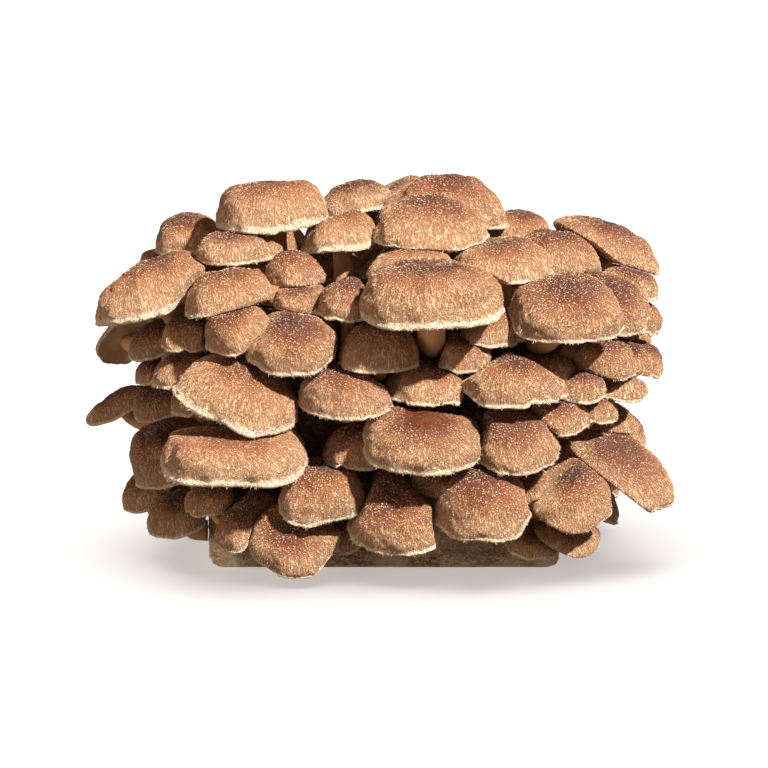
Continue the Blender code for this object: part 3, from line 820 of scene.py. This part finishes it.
        data = {"place": place, "out": spans, "look": look, "gloss": gloss, "flow": flow, "furred": furred,
                "scaly": scaly, "fringed": fringed, "hanging": hanging, "woolly": woolly}
        middle = {"place": np.array((self.m.radius, 0, 0)), "out": 0.0}
        whole = {}
        for name, values in data.items():
            first = np.array([middle.get(name, values[0])], float)
            whole[name] = np.concatenate([first, values, values[-1:]])
        return whole


def make_mesh(name, surfaces):
    """One mesh from several skins, in metres, with their values as attributes."""
    points, faces, slots, values = [], [], [], {}
    start = 0
    for surface in surfaces:
        p, f, s, v = surface.mesh_data()
        points.append(p)
        faces += [tuple(start + k for k in face) for face in f]
        slots += s
        for key, data in v.items():
            values.setdefault(key, []).append(data)
        start += len(p)
    mesh = bpy.data.meshes.new(name)
    mesh.from_pydata((np.concatenate(points) * TO_METRES).tolist(), [], faces)
    mesh.polygons.foreach_set("material_index", slots)
    mesh.polygons.foreach_set("use_smooth", [True] * len(faces))
    for key, parts in values.items():
        data = np.concatenate(parts)
        if data.ndim == 2:
            layer = mesh.attributes.new(key, "FLOAT_VECTOR", "POINT")
            layer.data.foreach_set("vector", data.ravel())
        else:
            layer = mesh.attributes.new(key, "FLOAT", "POINT")
            layer.data.foreach_set("value", data)
    mesh.update()
    return mesh


STRAND_SIDES = 3
STRAND_SIZES = (0.55, 1.35)
ROOT_DEPTH = 0.0001  # of a strand's foot, in metres
SEED_STEPS = (31, 47, 63)  # for each strand's direction, tone and size
SCALE_SHAPE = (0.38, 1.5)  # length and width against a fibril's
FRINGE_WIDTH = 0.75  # against a fibril's
# How strands stand: least and most lift off the surface, and how far they stray.
FIBRIL_STAND = (0.0, 0.16, 0.26)
SCALE_STAND = (0.25, 0.9, 0.6)
FRINGE_STAND = (-0.2, 0.7, 0.45)
FIBRIL_TONES, SCALE_TONES, FRINGE_TONES = (0.0, 0.8), (0.8, 1.0), (0.85, 1.0)


class FibreTree:
    """Geometry nodes that cover a cap with fibrils, pale scales and a woolly fringe."""

    def __init__(self):
        self.tree = bpy.data.node_groups.new("Cap fibres", "GeometryNodeTree")
        self.face = self.tree.interface
        self.face.new_socket("Geometry", in_out="INPUT", socket_type="NodeSocketGeometry")
        self.ids = {}
        for name in ("Fibril length", "Fibril width", "Fibril density", "Scale density",
                     "Fringe length", "Fringe density"):
            self.ids[name] = self.add_input(name, "NodeSocketFloat")
        self.ids["Seed"] = self.add_input("Seed", "NodeSocketInt")
        self.ids["Fibre finish"] = self.add_input("Fibre finish", "NodeSocketMaterial")
        self.face.new_socket("Geometry", in_out="OUTPUT", socket_type="NodeSocketGeometry")
        self.start = self.node("NodeGroupInput")
        self.build()

    def add_input(self, name, kind):
        return self.face.new_socket(name, in_out="INPUT", socket_type=kind).identifier

    def node(self, kind, settings=None, inputs=None):
        """One node: its settings first, then the values or links of its sockets."""
        node = self.tree.nodes.new(kind)
        for key, value in (settings or {}).items():
            setattr(node, key, value)
        for key, value in (inputs or {}).items():
            if isinstance(value, bpy.types.NodeSocket):
                self.tree.links.new(value, node.inputs[key])
            else:
                node.inputs[key].default_value = value
        return node

    def math(self, operation, a, b):
        return self.node("ShaderNodeMath", {"operation": operation}, {0: a, 1: b}).outputs[0]

    def named(self, name, kind="FLOAT"):
        node = self.node("GeometryNodeInputNamedAttribute", {"data_type": kind}, {"Name": name})
        return node.outputs["Attribute"]

    def random(self, low, high, seed):
        node = self.node("FunctionNodeRandomValue", {"data_type": "FLOAT"})
        sockets = [s for s in node.inputs if s.enabled]
        sockets[0].default_value = low
        sockets[1].default_value = high
        self.tree.links.new(seed, node.inputs["Seed"])
        return next(s for s in node.outputs if s.enabled)

    def strands(self, where, along, length, width, density, lift, tones, number):
        """Thin three-sided cones that lean from the surface towards a named direction."""
        seed = self.math("ADD", self.start.outputs["Seed"], number)
        amount = self.math("MULTIPLY", self.named(where), density)
        spread = self.node("GeometryNodeDistributePointsOnFaces", {"distribute_method": "RANDOM"}, {
            "Mesh": self.start.outputs["Geometry"], "Density": amount, "Seed": seed})
        raised = self.node("ShaderNodeVectorMath", {"operation": "SCALE"}, {
            0: spread.outputs["Normal"], "Scale": self.random(lift[0], lift[1], seed)})
        stray_seed, tone_seed, size_seed = (self.math("ADD", seed, step) for step in SEED_STEPS)
        stray = self.node("FunctionNodeRandomValue", {"data_type": "FLOAT_VECTOR"}, {
            0: (-lift[2],) * 3, 1: (lift[2],) * 3, "Seed": stray_seed})
        first = self.node("ShaderNodeVectorMath", {"operation": "ADD"}, {
            0: self.named(along, "FLOAT_VECTOR"), 1: raised.outputs[0]})
        way = self.node("ShaderNodeVectorMath", {"operation": "ADD"}, {
            0: first.outputs[0], 1: stray.outputs[0]})
        turn = self.node("FunctionNodeAlignRotationToVector", {"axis": "Z"}, {"Vector": way.outputs[0]})
        sunk = self.node("GeometryNodeSetPosition", None, {
            "Geometry": spread.outputs["Points"],
            "Offset": self.node("ShaderNodeVectorMath", {"operation": "SCALE"}, {
                0: spread.outputs["Normal"], "Scale": -ROOT_DEPTH}).outputs[0]})
        tone = self.random(tones[0], tones[1], tone_seed)
        toned = self.node("GeometryNodeStoreNamedAttribute", {"data_type": "FLOAT", "domain": "POINT"}, {
            "Geometry": sunk.outputs[0], "Name": "tone", "Value": tone})
        half_width = self.math("MULTIPLY", width, 0.5)
        blade = self.node("GeometryNodeMeshCone", {"fill_type": "NONE"}, {
            "Vertices": STRAND_SIDES, "Radius Top": 0.0, "Radius Bottom": half_width, "Depth": length})
        size = self.random(*STRAND_SIZES, size_seed)
        grown = self.node("GeometryNodeInstanceOnPoints", None, {
            "Points": toned.outputs[0], "Instance": blade.outputs["Mesh"],
            "Rotation": turn.outputs[0], "Scale": size})
        return grown.outputs[0]

    def build(self):
        given = self.start.outputs
        fibrils = self.strands("furred", "flow", given["Fibril length"], given["Fibril width"],
                               given["Fibril density"], FIBRIL_STAND, FIBRIL_TONES, 1)
        scale_length = self.math("MULTIPLY", given["Fibril length"], SCALE_SHAPE[0])
        scale_width = self.math("MULTIPLY", given["Fibril width"], SCALE_SHAPE[1])
        scales = self.strands("scaly", "flow", scale_length, scale_width,
                              given["Scale density"], SCALE_STAND, SCALE_TONES, 2)
        thin = self.math("MULTIPLY", given["Fibril width"], FRINGE_WIDTH)
        fringe = self.strands("fringed", "hanging", given["Fringe length"], thin,
                              given["Fringe density"], FRINGE_STAND, FRINGE_TONES, 3)
        fibres = self.node("GeometryNodeJoinGeometry")
        for strand in (fibrils, scales, fringe):
            self.tree.links.new(strand, fibres.inputs[0])
        marked = self.node("GeometryNodeStoreNamedAttribute", {"data_type": "FLOAT", "domain": "INSTANCE"}, {
            "Geometry": fibres.outputs[0], "Name": "fibre", "Value": 1.0})
        whole = self.node("GeometryNodeJoinGeometry")
        self.tree.links.new(marked.outputs[0], whole.inputs[0])
        self.tree.links.new(given["Geometry"], whole.inputs[0])
        real = self.node("GeometryNodeRealizeInstances", None, {"Geometry": whole.outputs[0]})
        is_fibre = self.math("GREATER_THAN", self.named("fibre"), 0.5)
        finish = self.node("GeometryNodeSetMaterial", None, {
            "Geometry": real.outputs[0], "Selection": is_fibre, "Material": given["Fibre finish"]})
        end = self.node("NodeGroupOutput")
        self.tree.links.new(finish.outputs[0], end.inputs[0])

    def cover(self, piece, sizes, seed, material):
        """Adds the fibres to a piece and makes the result its plain mesh."""
        growth = piece.modifiers.new("Fibres", "NODES")
        growth.node_group = self.tree
        growth[self.ids["Fibril length"]] = sizes.fibril_length
        growth[self.ids["Fibril width"]] = sizes.fibril_width
        growth[self.ids["Fibril density"]] = sizes.fibril_density
        growth[self.ids["Scale density"]] = sizes.scale_density
        growth[self.ids["Fringe length"]] = sizes.fringe_length
        growth[self.ids["Fringe density"]] = sizes.fringe_density
        growth[self.ids["Seed"]] = seed
        growth[self.ids["Fibre finish"]] = material
        depsgraph = bpy.context.evaluated_depsgraph_get()
        mesh = bpy.data.meshes.new_from_object(piece.evaluated_get(depsgraph))
        piece.modifiers.clear()
        bare = piece.data
        piece.data = mesh
        bpy.data.meshes.remove(bare)


class Value:
    """A number in a material, so that patterns are written as sums."""

    def __init__(self, finish, socket):
        self.finish = finish
        self.socket = socket

    def math(self, operation, *terms):
        given = {k: term.socket if isinstance(term, Value) else term for k, term in enumerate(terms)}
        node = self.finish.node("ShaderNodeMath", {"operation": operation}, given)
        return Value(self.finish, node.outputs[0])

    def __add__(self, other):
        return self.math("ADD", self, other)

    __radd__ = __add__

    def __sub__(self, other):
        return self.math("SUBTRACT", self, other)

    def __rsub__(self, other):
        return self.math("SUBTRACT", other, self)

    def __mul__(self, other):
        return self.math("MULTIPLY", self, other)

    __rmul__ = __mul__

    def __abs__(self):
        return self.math("ABSOLUTE", self)

    def between(self, low, high):
        """0 below low, 1 above high, with a soft step between; low and high may be values too."""
        node = self.finish.node("ShaderNodeMapRange", {"interpolation_type": "SMOOTHSTEP"}, {
            "Value": self.socket,
            "From Min": low.socket if isinstance(low, Value) else low,
            "From Max": high.socket if isinstance(high, Value) else high})
        return Value(self.finish, node.outputs["Result"])


class Finish:
    """A procedural material and its nodes."""

    def __init__(self, name, roughness):
        self.material = bpy.data.materials.new(name)
        self.material.use_nodes = True
        self.tree = self.material.node_tree
        self.shader = self.tree.nodes["Principled BSDF"]
        self.shader.inputs["Roughness"].default_value = roughness

    def node(self, kind, settings=None, inputs=None):
        """One node: its settings first, then the values or links of its sockets."""
        node = self.tree.nodes.new(kind)
        for key, value in (settings or {}).items():
            setattr(node, key, value)
        for key, value in (inputs or {}).items():
            if isinstance(value, bpy.types.NodeSocket):
                self.tree.links.new(value, node.inputs[key])
            else:
                node.inputs[key].default_value = value
        return node

    def vector(self, name):
        return self.node("ShaderNodeAttribute", {"attribute_name": name}).outputs["Vector"]

    def number(self, name):
        return Value(self, self.node("ShaderNodeAttribute", {"attribute_name": name}).outputs["Fac"])

    def parts(self, vector):
        split = self.node("ShaderNodeSeparateXYZ", None, {0: vector})
        return [Value(self, split.outputs[k]) for k in range(3)]

    def stretched(self, vector, scale):
        node = self.node("ShaderNodeVectorMath", {"operation": "MULTIPLY"}, {0: vector, 1: scale})
        return node.outputs[0]

    def position(self):
        return self.node("ShaderNodeTexCoord").outputs["Object"]

    def noise(self, vector, scale, detail=3.0, roughness=0.55, distortion=0.0):
        node = self.node("ShaderNodeTexNoise", None, {
            "Vector": vector, "Scale": scale, "Detail": detail, "Roughness": roughness,
            "Distortion": distortion})
        return Value(self, node.outputs["Fac"])

    def cells(self, vector, scale):
        node = self.node("ShaderNodeTexVoronoi", None, {"Vector": vector, "Scale": scale})
        return Value(self, node.outputs["Distance"])

    def blend(self, share, first, second, kind="MIX"):
        """A colour from first, where share is 0, to second, where it is 1."""
        node = self.node("ShaderNodeMix", {"data_type": "RGBA", "blend_type": kind})
        for socket, colour in ((node.inputs[6], first), (node.inputs[7], second)):
            if isinstance(colour, bpy.types.NodeSocket):
                self.tree.links.new(colour, socket)
            else:
                socket.default_value = (*colour, 1.0)
        if isinstance(share, Value):
            self.tree.links.new(share.socket, node.inputs[0])
        else:
            node.inputs[0].default_value = share
        return node.outputs[2]

    def paint(self, colour, roughness=None, height=None, depth=0.0005, strength=0.6):
        self.tree.links.new(colour, self.shader.inputs["Base Color"])
        if roughness:
            self.tree.links.new(roughness.socket, self.shader.inputs["Roughness"])
        if height:
            bump = self.node("ShaderNodeBump", None, {
                "Height": height.socket, "Distance": depth, "Strength": strength})
            self.tree.links.new(bump.outputs[0], self.shader.inputs["Normal"])


def darker(colour, share):
    return tuple(c * share for c in colour)


def mixed(first, second, share):
    return tuple(a + (b - a) * share for a, b in zip(first, second))


def zone_colour(f, colours, patches):
    """Chestnut in a cap's middle, brown on top and tan down its sides, with ragged changes."""
    tan, brown, chestnut = tuple(colours.tan), tuple(colours.brown), tuple(colours.chestnut)
    out = f.number("out")
    dark_reach, redness, paleness = f.parts(f.vector("look"))
    ragged = out + (patches - 0.5) * 0.55
    top = f.blend(ragged.between(dark_reach * 0.2, dark_reach * 1.25), chestnut, brown)
    sides = f.blend(paleness, mixed(tan, brown, 0.35), tan)
    sides = f.blend(redness * 0.45, sides, mixed(tan, brown, 0.6))
    low = (out + (patches - 0.5) * 0.3).between(0.5, 0.88)
    sides = f.blend(low * (0.22 + paleness * 0.32), sides, tuple(colours.cream))
    return f.blend(ragged.between(0.18 + dark_reach * 0.3, 0.56 + dark_reach * 0.3), top, sides)


def skin_finish(colours):
    """Brown under pale woolly flakes on top, streaked tan down the sides, and a cream rim; the skin between
    flakes and threads is darkened, partly its own darker brown and partly painted shade in the gaps.
    """
    f = Finish("cap_skin", 0.8)
    chestnut, cream = tuple(colours.chestnut), tuple(colours.cream)
    place = f.vector("place")
    out = f.number("out")
    dark_reach, _, _ = f.parts(f.vector("look"))
    spot = f.position()
    streaks = f.noise(f.stretched(place, (0.75, 0.75, 0.14)), 1.0, 4.0, 0.6)
    threads = f.noise(f.stretched(place, (1.5, 1.5, 0.36)), 1.0, 3.0, 0.65, 0.8)
    patches = f.noise(spot, 60.0, 4.0)
    mottle = f.noise(spot, 240.0, 3.0)
    grain = f.noise(spot, 900.0, 3.0, 0.6)
    zone = zone_colour(f, colours, patches)
    bare = 1.0 - (out + (patches - 0.5) * 0.35).between(dark_reach * 0.5, dark_reach * 0.95)
    bare = bare * f.number("gloss")
    side = (out + (patches - 0.5) * 0.3).between(0.35, 0.7)
    flakes = 1.0 - f.cells(spot, 700.0).between(0.20, 0.46 + (mottle - 0.5) * 0.6)
    wool = threads.between(0.40, 0.60) * streaks.between(0.34, 0.48)
    relief = flakes * (1.0 - side) + (wool * 0.8 + flakes * 0.2) * side
    # dark: the skin between the flakes and wool threads, darkened below the cap's own colour, partly darker
    # skin and partly painted shade in the gaps between them.
    dark = f.blend(1.0, zone, (0.46, 0.35, 0.28), "MULTIPLY")
    dark = f.blend(side, dark, f.blend(1.0, zone, (0.56, 0.45, 0.38), "MULTIPLY"))
    light = f.blend(0.42 + side * 0.16, zone, cream)
    colour = f.blend(relief, dark, light)
    hem = RIM_AT + 0.015 - f.number("woolly") * 0.045
    rim = (out + (streaks - 0.5) * 0.08 + (mottle - 0.5) * 0.06).between(hem - 0.025, hem + 0.01)
    white = f.blend(grain.between(0.35, 0.6), cream, mixed(cream, (1.0, 0.96, 0.9), 0.5))
    colour = f.blend(rim * 0.9, colour, white)
    colour = f.blend(bare * 0.92, colour, f.blend(mottle, darker(chestnut, 0.4), darker(chestnut, 0.75)))
    height = (relief * 0.9 + streaks * 0.6 + grain * 0.4) * (1.0 - bare * 0.85)
    f.paint(colour, 0.85 - bare * 0.5, height, 0.0020, 1.0)
    f.shader.inputs["Sheen Weight"].default_value = 0.02
    f.shader.inputs["Sheen Roughness"].default_value = 0.5
    f.shader.inputs["Sheen Tint"].default_value = (1.0, 0.9, 0.75, 1.0)
    return f.material


def fibre_finish(colours):
    """Loose fibrils, flakes and fringe, from the colour under them to cream by each one's tone."""
    f = Finish("cap_fibres", 0.85)
    tone = f.number("tone")
    cream = tuple(colours.cream)
    zone = zone_colour(f, colours, f.noise(f.position(), 60.0, 4.0))
    low = f.blend(1.0, zone, (0.80, 0.73, 0.66), "MULTIPLY")
    high = f.blend(0.48, zone, cream)
    own = f.blend(tone.between(0.1, 0.75), low, high)
    scale = f.blend(0.55, zone, cream)
    own = f.blend(tone.between(0.78, 0.84), own, scale)
    f.paint(f.blend(f.number("out").between(RIM_AT - 0.03, RIM_AT) * 0.8, own, cream))
    return f.material


def gill_finish(colours):
    """Tan-orange underside with fine radial gills, and painted light that turns the gills of the palest caps
    to cream.
    """
    f = Finish("gills", 0.7)
    gill = tuple(colours.gill)
    lines = f.noise(f.stretched(f.vector("place"), (1.1, 1.1, 0.03)), 1.0, 2.0)
    colour = f.blend(lines.between(0.36, 0.6), darker(gill, 0.6), gill)
    colour = f.blend(f.number("out").between(0.7, 1.0) * 0.6, colour, tuple(colours.cream))
    _, _, paleness = f.parts(f.vector("look"))
    # Painted light: on caps with a paleness near 1 the gills are blended towards cream, standing in for
    # light on an underside that the lamps leave in shade.
    colour = f.blend(paleness.between(0.9, 1.0) * 0.7, colour, tuple(colours.cream))
    f.paint(colour, None, lines, 0.0010, 0.8)
    return f.material


def stem_finish(colours):
    """Pale tan stem with soft fibres along it, browner towards the foot."""
    f = Finish("stems", 0.75)
    stem = tuple(colours.stem)
    fibres = f.noise(f.stretched(f.vector("place"), (0.55, 0.55, 0.10)), 1.0, 4.0, 0.6)
    wool = f.noise(f.position(), 500.0, 3.0)
    colour = f.blend(fibres.between(0.3, 0.7), darker(stem, 0.72), stem)
    colour = f.blend(f.number("out") * 0.55, colour, tuple(colours.brown))
    f.paint(colour, None, fibres + wool * 0.5, 0.0008, 0.8)
    return f.material


def block_finish(colours):
    """Sawdust mottled and threaded with white mycelium near the ground, under a dark brown coat higher up
    that is partly the block's own browned skin and partly painted shade for the gaps between the caps.
    """
    f = Finish("sawdust", 0.9)
    spot = f.position()
    across, _, up = f.parts(spot)
    sawdust, white = tuple(colours.sawdust), tuple(colours.mycelium)
    chips = f.cells(f.stretched(spot, (1.0, 1.0, 1.8)), 420.0)
    broad = f.noise(spot, 30.0, 5.0, 0.6)
    fine = f.noise(spot, 210.0, 4.0, 0.65)
    threads = f.noise(f.stretched(spot, (1.0, 1.0, 2.2)), 95.0, 5.0, 0.6, 1.4)
    web = 1.0 - abs(threads - 0.5).between(0.0, 0.035)
    base = f.blend(chips.between(0.1, 0.55), mixed(sawdust, white, 0.28), darker(sawdust, 0.45))
    base = f.blend(broad.between(0.42, 0.60), base, mixed(sawdust, white, 0.42))
    base = f.blend(fine.between(0.5, 0.7) * 0.55, base, mixed(sawdust, white, 0.65))
    base = f.blend(web * 0.8, base, white)
    # Above about 24 to 46 mm the block turns very dark brown: partly its own browned skin, partly painted
    # shade where the caps crowd over it.
    coat_and_shade = (up * 1000.0 + (broad - 0.5) * 60.0).between(24.0, 46.0)
    skin = f.blend(fine.between(0.4, 0.65), darker(sawdust, 0.20), darker(sawdust, 0.45))
    base = f.blend(coat_and_shade, base, skin)
    pale = (across * -1000.0 + (broad - 0.5) * 30.0).between(74.0, 84.0)
    pale = pale * (1.0 - (up * 1000.0 + (fine - 0.5) * 12.0).between(12.0, 20.0))
    base = f.blend(pale * 0.8, base, mixed(white, tuple(colours.cream), 0.4))
    f.paint(base, None, chips * 0.6 + fine * 0.8 + web * 0.5, 0.0016, 0.9)
    return f.material


def material(name, maker):
    """The named finish, made once."""
    made = bpy.data.materials.get(name)
    return made or maker(bpy.context.scene.shiitake_colours)


def finished(piece, node):
    """The piece is the visual model of that node and rides with the block."""
    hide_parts(node)
    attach(piece, "root")


GROWN = grow_all()
FIBRES = []


def make_mushrooms(rows):
    """One piece for each large mushroom of those rows, with the small ones that branch from it."""
    sizes = bpy.context.scene.shiitake_sizes
    if not FIBRES:
        FIBRES.append(FibreTree())
    finishes = [material("cap_skin", skin_finish), material("gills", gill_finish),
                material("stems", stem_finish)]
    for number, main in enumerate(m for m in GROWN if not m.parent):
        if not main.name.startswith(rows):
            continue
        group = [main] + [m for m in GROWN if m.parent is main]
        surfaces = [Surface(m, np.random.default_rng(sizes.seed * 1000 + number * 10 + k))
                    for k, m in enumerate(group)]
        mesh = make_mesh(f"{main.name}_mushroom", surfaces)
        for one in finishes:
            mesh.materials.append(one)
        piece = bpy.data.objects.new(f"{main.name}_mushroom", mesh)
        bpy.context.scene.collection.objects.link(piece)
        FIBRES[0].cover(piece, sizes, sizes.seed + number * 7, material("cap_fibres", fibre_finish))
        if not len(piece.data.polygons):
            raise RuntimeError(f"{piece.name} came out empty")
        finished(piece, f"mushroom_{main.name}")


class SHIITAKE_OT_top(bpy.types.Operator):
    """Grow the mushrooms on top of the block"""

    bl_idname = "shiitake.top"
    bl_label = "Top mushrooms"

    def execute(self, context):
        make_mushrooms(("top",))
        return {"FINISHED"}


class SHIITAKE_OT_front(bpy.types.Operator):
    """Grow the mushrooms on the photographed side"""

    bl_idname = "shiitake.front"
    bl_label = "Front mushrooms"

    def execute(self, context):
        make_mushrooms(("centre", "front", "low"))
        return {"FINISHED"}


class SHIITAKE_OT_flanks(bpy.types.Operator):
    """Grow the mushrooms at the block's two ends"""

    bl_idname = "shiitake.flanks"
    bl_label = "Flank mushrooms"

    def execute(self, context):
        make_mushrooms(("left", "right", "side"))
        return {"FINISHED"}


class SHIITAKE_OT_back(bpy.types.Operator):
    """Grow the mushrooms on the side that the photo hides"""

    bl_idname = "shiitake.back"
    bl_label = "Back mushrooms"

    def execute(self, context):
        make_mushrooms(("back",))
        return {"FINISHED"}


BLOCK_EDGE = 7.0  # rounding of the block's edges
BLOCK_DETAIL = 2.2
BLOCK_LUMPS = ((16.0, 1.1), (4.0, 0.9), (1.7, 0.55))  # width and height
BLOCK_SINK = 0.6  # the rough skin is drawn in by this much
STEADY_FOOT = 3.0  # the roughness fades out this near the ground


class SHIITAKE_OT_block(bpy.types.Operator):
    """Make the sawdust block with its rough, threaded surface"""

    bl_idname = "shiitake.block"
    bl_label = "Sawdust block"

    def execute(self, context):
        bpy.ops.mesh.primitive_cube_add(size=1)
        block = bpy.context.object
        block.name = "grow_block"
        for vertex in block.data.vertices:
            corner = [vertex.co[k] * BLOCK_SIZE[k] + BLOCK_MIDDLE[k] for k in range(3)]
            vertex.co = Vector(corner) * TO_METRES
        round_edges = block.modifiers.new("Soft edges", "BEVEL")
        round_edges.width = BLOCK_EDGE * TO_METRES
        round_edges.segments = 3
        skin = block.modifiers.new("Skin", "REMESH")
        skin.mode = "VOXEL"
        skin.voxel_size = BLOCK_DETAIL * TO_METRES
        depsgraph = bpy.context.evaluated_depsgraph_get()
        mesh = bpy.data.meshes.new_from_object(block.evaluated_get(depsgraph))
        block.modifiers.clear()
        block.data = mesh
        count = len(mesh.vertices)
        normals = np.empty(count * 3)
        mesh.vertices.foreach_get("normal", normals)
        normals = normals.reshape(-1, 3)
        for vertex, normal in zip(mesh.vertices, normals):
            place = vertex.co / TO_METRES
            rough = sum(height * noise.noise(place / width) for width, height in BLOCK_LUMPS) - BLOCK_SINK
            lift = min(place.z / STEADY_FOOT, 1.0)
            vertex.co = vertex.co + Vector(normal) * rough * TO_METRES * lift
        mesh.polygons.foreach_set("use_smooth", [True] * len(mesh.polygons))
        mesh.materials.clear()
        mesh.materials.append(material("sawdust", block_finish))
        finished(block, "sawdust_block")
        return {"FINISHED"}


CAMERA_ELEVATION = math.radians(10)
CAMERA_DISTANCE = 2.0
AIM_HEIGHT = 0.091
MM_PER_PIXEL = 0.55
IMAGE_PIXELS = 768
SENSOR_MM = 36.0
FLOOR_SIZE = 12.0
FLOOR_GREY, FLOOR_GLOW = (0.8, 0.8, 0.8, 1.0), 0.42
WORLD_LIGHT, WORLD_STRENGTH = (1.0, 0.81, 0.62, 1.0), 0.27
WHITE = (1.0, 1.0, 1.0, 1.0)
LIT_POINT = (0.0, 0.0, 0.08)
# Lamps: place, size, watts and colour.
SUN = ((1.55, -1.75, 2.15), 0.14, 300.0, (1.0, 0.94, 0.85))
FILL = ((-2.1, -1.8, 0.35), 1.2, 26.0, (1.0, 0.80, 0.62))
FLOOR_LIGHT, FLOOR_LIGHT_SPREAD = 2.4, 75.0


def lamp(name, place, size, watts, colour):
    light = bpy.data.lights.new(name, "AREA")
    light.shape = "DISK"
    light.size = size
    light.energy = watts
    light.color = colour
    lamp_object = bpy.data.objects.new(name, light)
    lamp_object.location = place
    lamp_object.rotation_euler = (Vector(LIT_POINT) - Vector(place)).to_track_quat("-Z", "Y").to_euler()
    bpy.context.scene.collection.objects.link(lamp_object)
    return lamp_object


def light_world(scene):
    """A white surround that lights the scene softly."""
    world = bpy.data.worlds.new("studio")
    world.use_nodes = True
    tree = world.node_tree
    seen = tree.nodes["Background"]
    seen.inputs["Color"].default_value = WHITE
    seen.inputs["Strength"].default_value = 1.0
    lit = tree.nodes.new("ShaderNodeBackground")
    lit.inputs["Color"].default_value = WORLD_LIGHT
    lit.inputs["Strength"].default_value = WORLD_STRENGTH
    path = tree.nodes.new("ShaderNodeLightPath")
    chosen = tree.nodes.new("ShaderNodeMixShader")
    tree.links.new(path.outputs["Is Camera Ray"], chosen.inputs[0])
    tree.links.new(lit.outputs[0], chosen.inputs[1])
    tree.links.new(seen.outputs[0], chosen.inputs[2])
    tree.links.new(chosen.outputs[0], tree.nodes["World Output"].inputs["Surface"])
    scene.world = world


class SHIITAKE_OT_stage(bpy.types.Operator):
    """Set up the pale floor, the lights and the camera"""

    bl_idname = "shiitake.stage"
    bl_label = "Stage"

    def execute(self, context):
        scene = context.scene
        bpy.ops.mesh.primitive_plane_add(size=FLOOR_SIZE)
        floor = bpy.context.object
        floor.name = "floor"
        floor.visible_diffuse = False
        ground = Finish("floor", 0.9)
        ground.shader.inputs["Base Color"].default_value = FLOOR_GREY
        ground.shader.inputs["Specular IOR Level"].default_value = 0.0
        ground.shader.inputs["Emission Color"].default_value = WHITE
        ground.shader.inputs["Emission Strength"].default_value = FLOOR_GLOW
        floor.data.materials.append(ground.material)
        for other in floor.users_collection:
            other.objects.unlink(floor)
        floor_set = bpy.data.collections.new("floor set")
        scene.collection.children.link(floor_set)
        floor_set.objects.link(floor)
        not_floor = bpy.data.collections.new("all but the floor")
        not_floor.objects.link(floor)
        light_world(scene)
        sun = lamp("sun", *SUN)
        sun.light_linking.receiver_collection = not_floor
        not_floor.collection_objects[0].light_linking.link_state = "EXCLUDE"
        lamp("fill", *FILL)
        above = bpy.data.lights.new("floor light", "SUN")
        above.energy = FLOOR_LIGHT
        above.angle = math.radians(FLOOR_LIGHT_SPREAD)
        above_object = bpy.data.objects.new("floor light", above)
        scene.collection.objects.link(above_object)
        above_object.light_linking.receiver_collection = floor_set
        camera = bpy.data.cameras.new("camera")
        camera.sensor_width = SENSOR_MM
        width = IMAGE_PIXELS * MM_PER_PIXEL * TO_METRES
        camera.lens = SENSOR_MM * CAMERA_DISTANCE / width
        camera_object = bpy.data.objects.new("camera", camera)
        aim = Vector((0.0, 0.0, AIM_HEIGHT))
        away = Vector((0.0, -math.cos(CAMERA_ELEVATION), math.sin(CAMERA_ELEVATION)))
        camera_object.location = aim + away * CAMERA_DISTANCE
        camera_object.rotation_euler = (-away).to_track_quat("-Z", "Y").to_euler()
        scene.collection.objects.link(camera_object)
        scene.camera = camera_object
        scene.view_settings.view_transform = "Standard"
        return {"FINISHED"}


class SHIITAKE_PT_panel(bpy.types.Panel):
    """The pieces, in the order in which they are made"""

    bl_label = "Shiitake grow block"
    bl_idname = "SHIITAKE_PT_panel"
    bl_space_type = "VIEW_3D"
    bl_region_type = "UI"
    bl_category = "Shiitake"

    def draw(self, context):
        for group in (context.scene.shiitake_sizes, context.scene.shiitake_colours):
            for name in group.__annotations__:
                self.layout.prop(group, name)
        for operator in OPERATORS:
            self.layout.operator(operator.bl_idname)


OPERATORS = (SHIITAKE_OT_block, SHIITAKE_OT_top, SHIITAKE_OT_front, SHIITAKE_OT_flanks, SHIITAKE_OT_back,
             SHIITAKE_OT_stage)
CLASSES = (ShiitakeSizes, ShiitakeColours, *OPERATORS, SHIITAKE_PT_panel)


def register():
    for one in CLASSES:
        bpy.utils.register_class(one)
    bpy.types.Scene.shiitake_sizes = PointerProperty(type=ShiitakeSizes)
    bpy.types.Scene.shiitake_colours = PointerProperty(type=ShiitakeColours)


def unregister():
    del bpy.types.Scene.shiitake_colours
    del bpy.types.Scene.shiitake_sizes
    for one in reversed(CLASSES):
        bpy.utils.unregister_class(one)


def main():
    register()
    bpy.ops.shiitake.block()
    bpy.ops.shiitake.top()
    bpy.ops.shiitake.front()
    bpy.ops.shiitake.flanks()
    bpy.ops.shiitake.back()
    bpy.ops.shiitake.stage()
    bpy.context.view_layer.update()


if __name__ == "__main__":
    main()
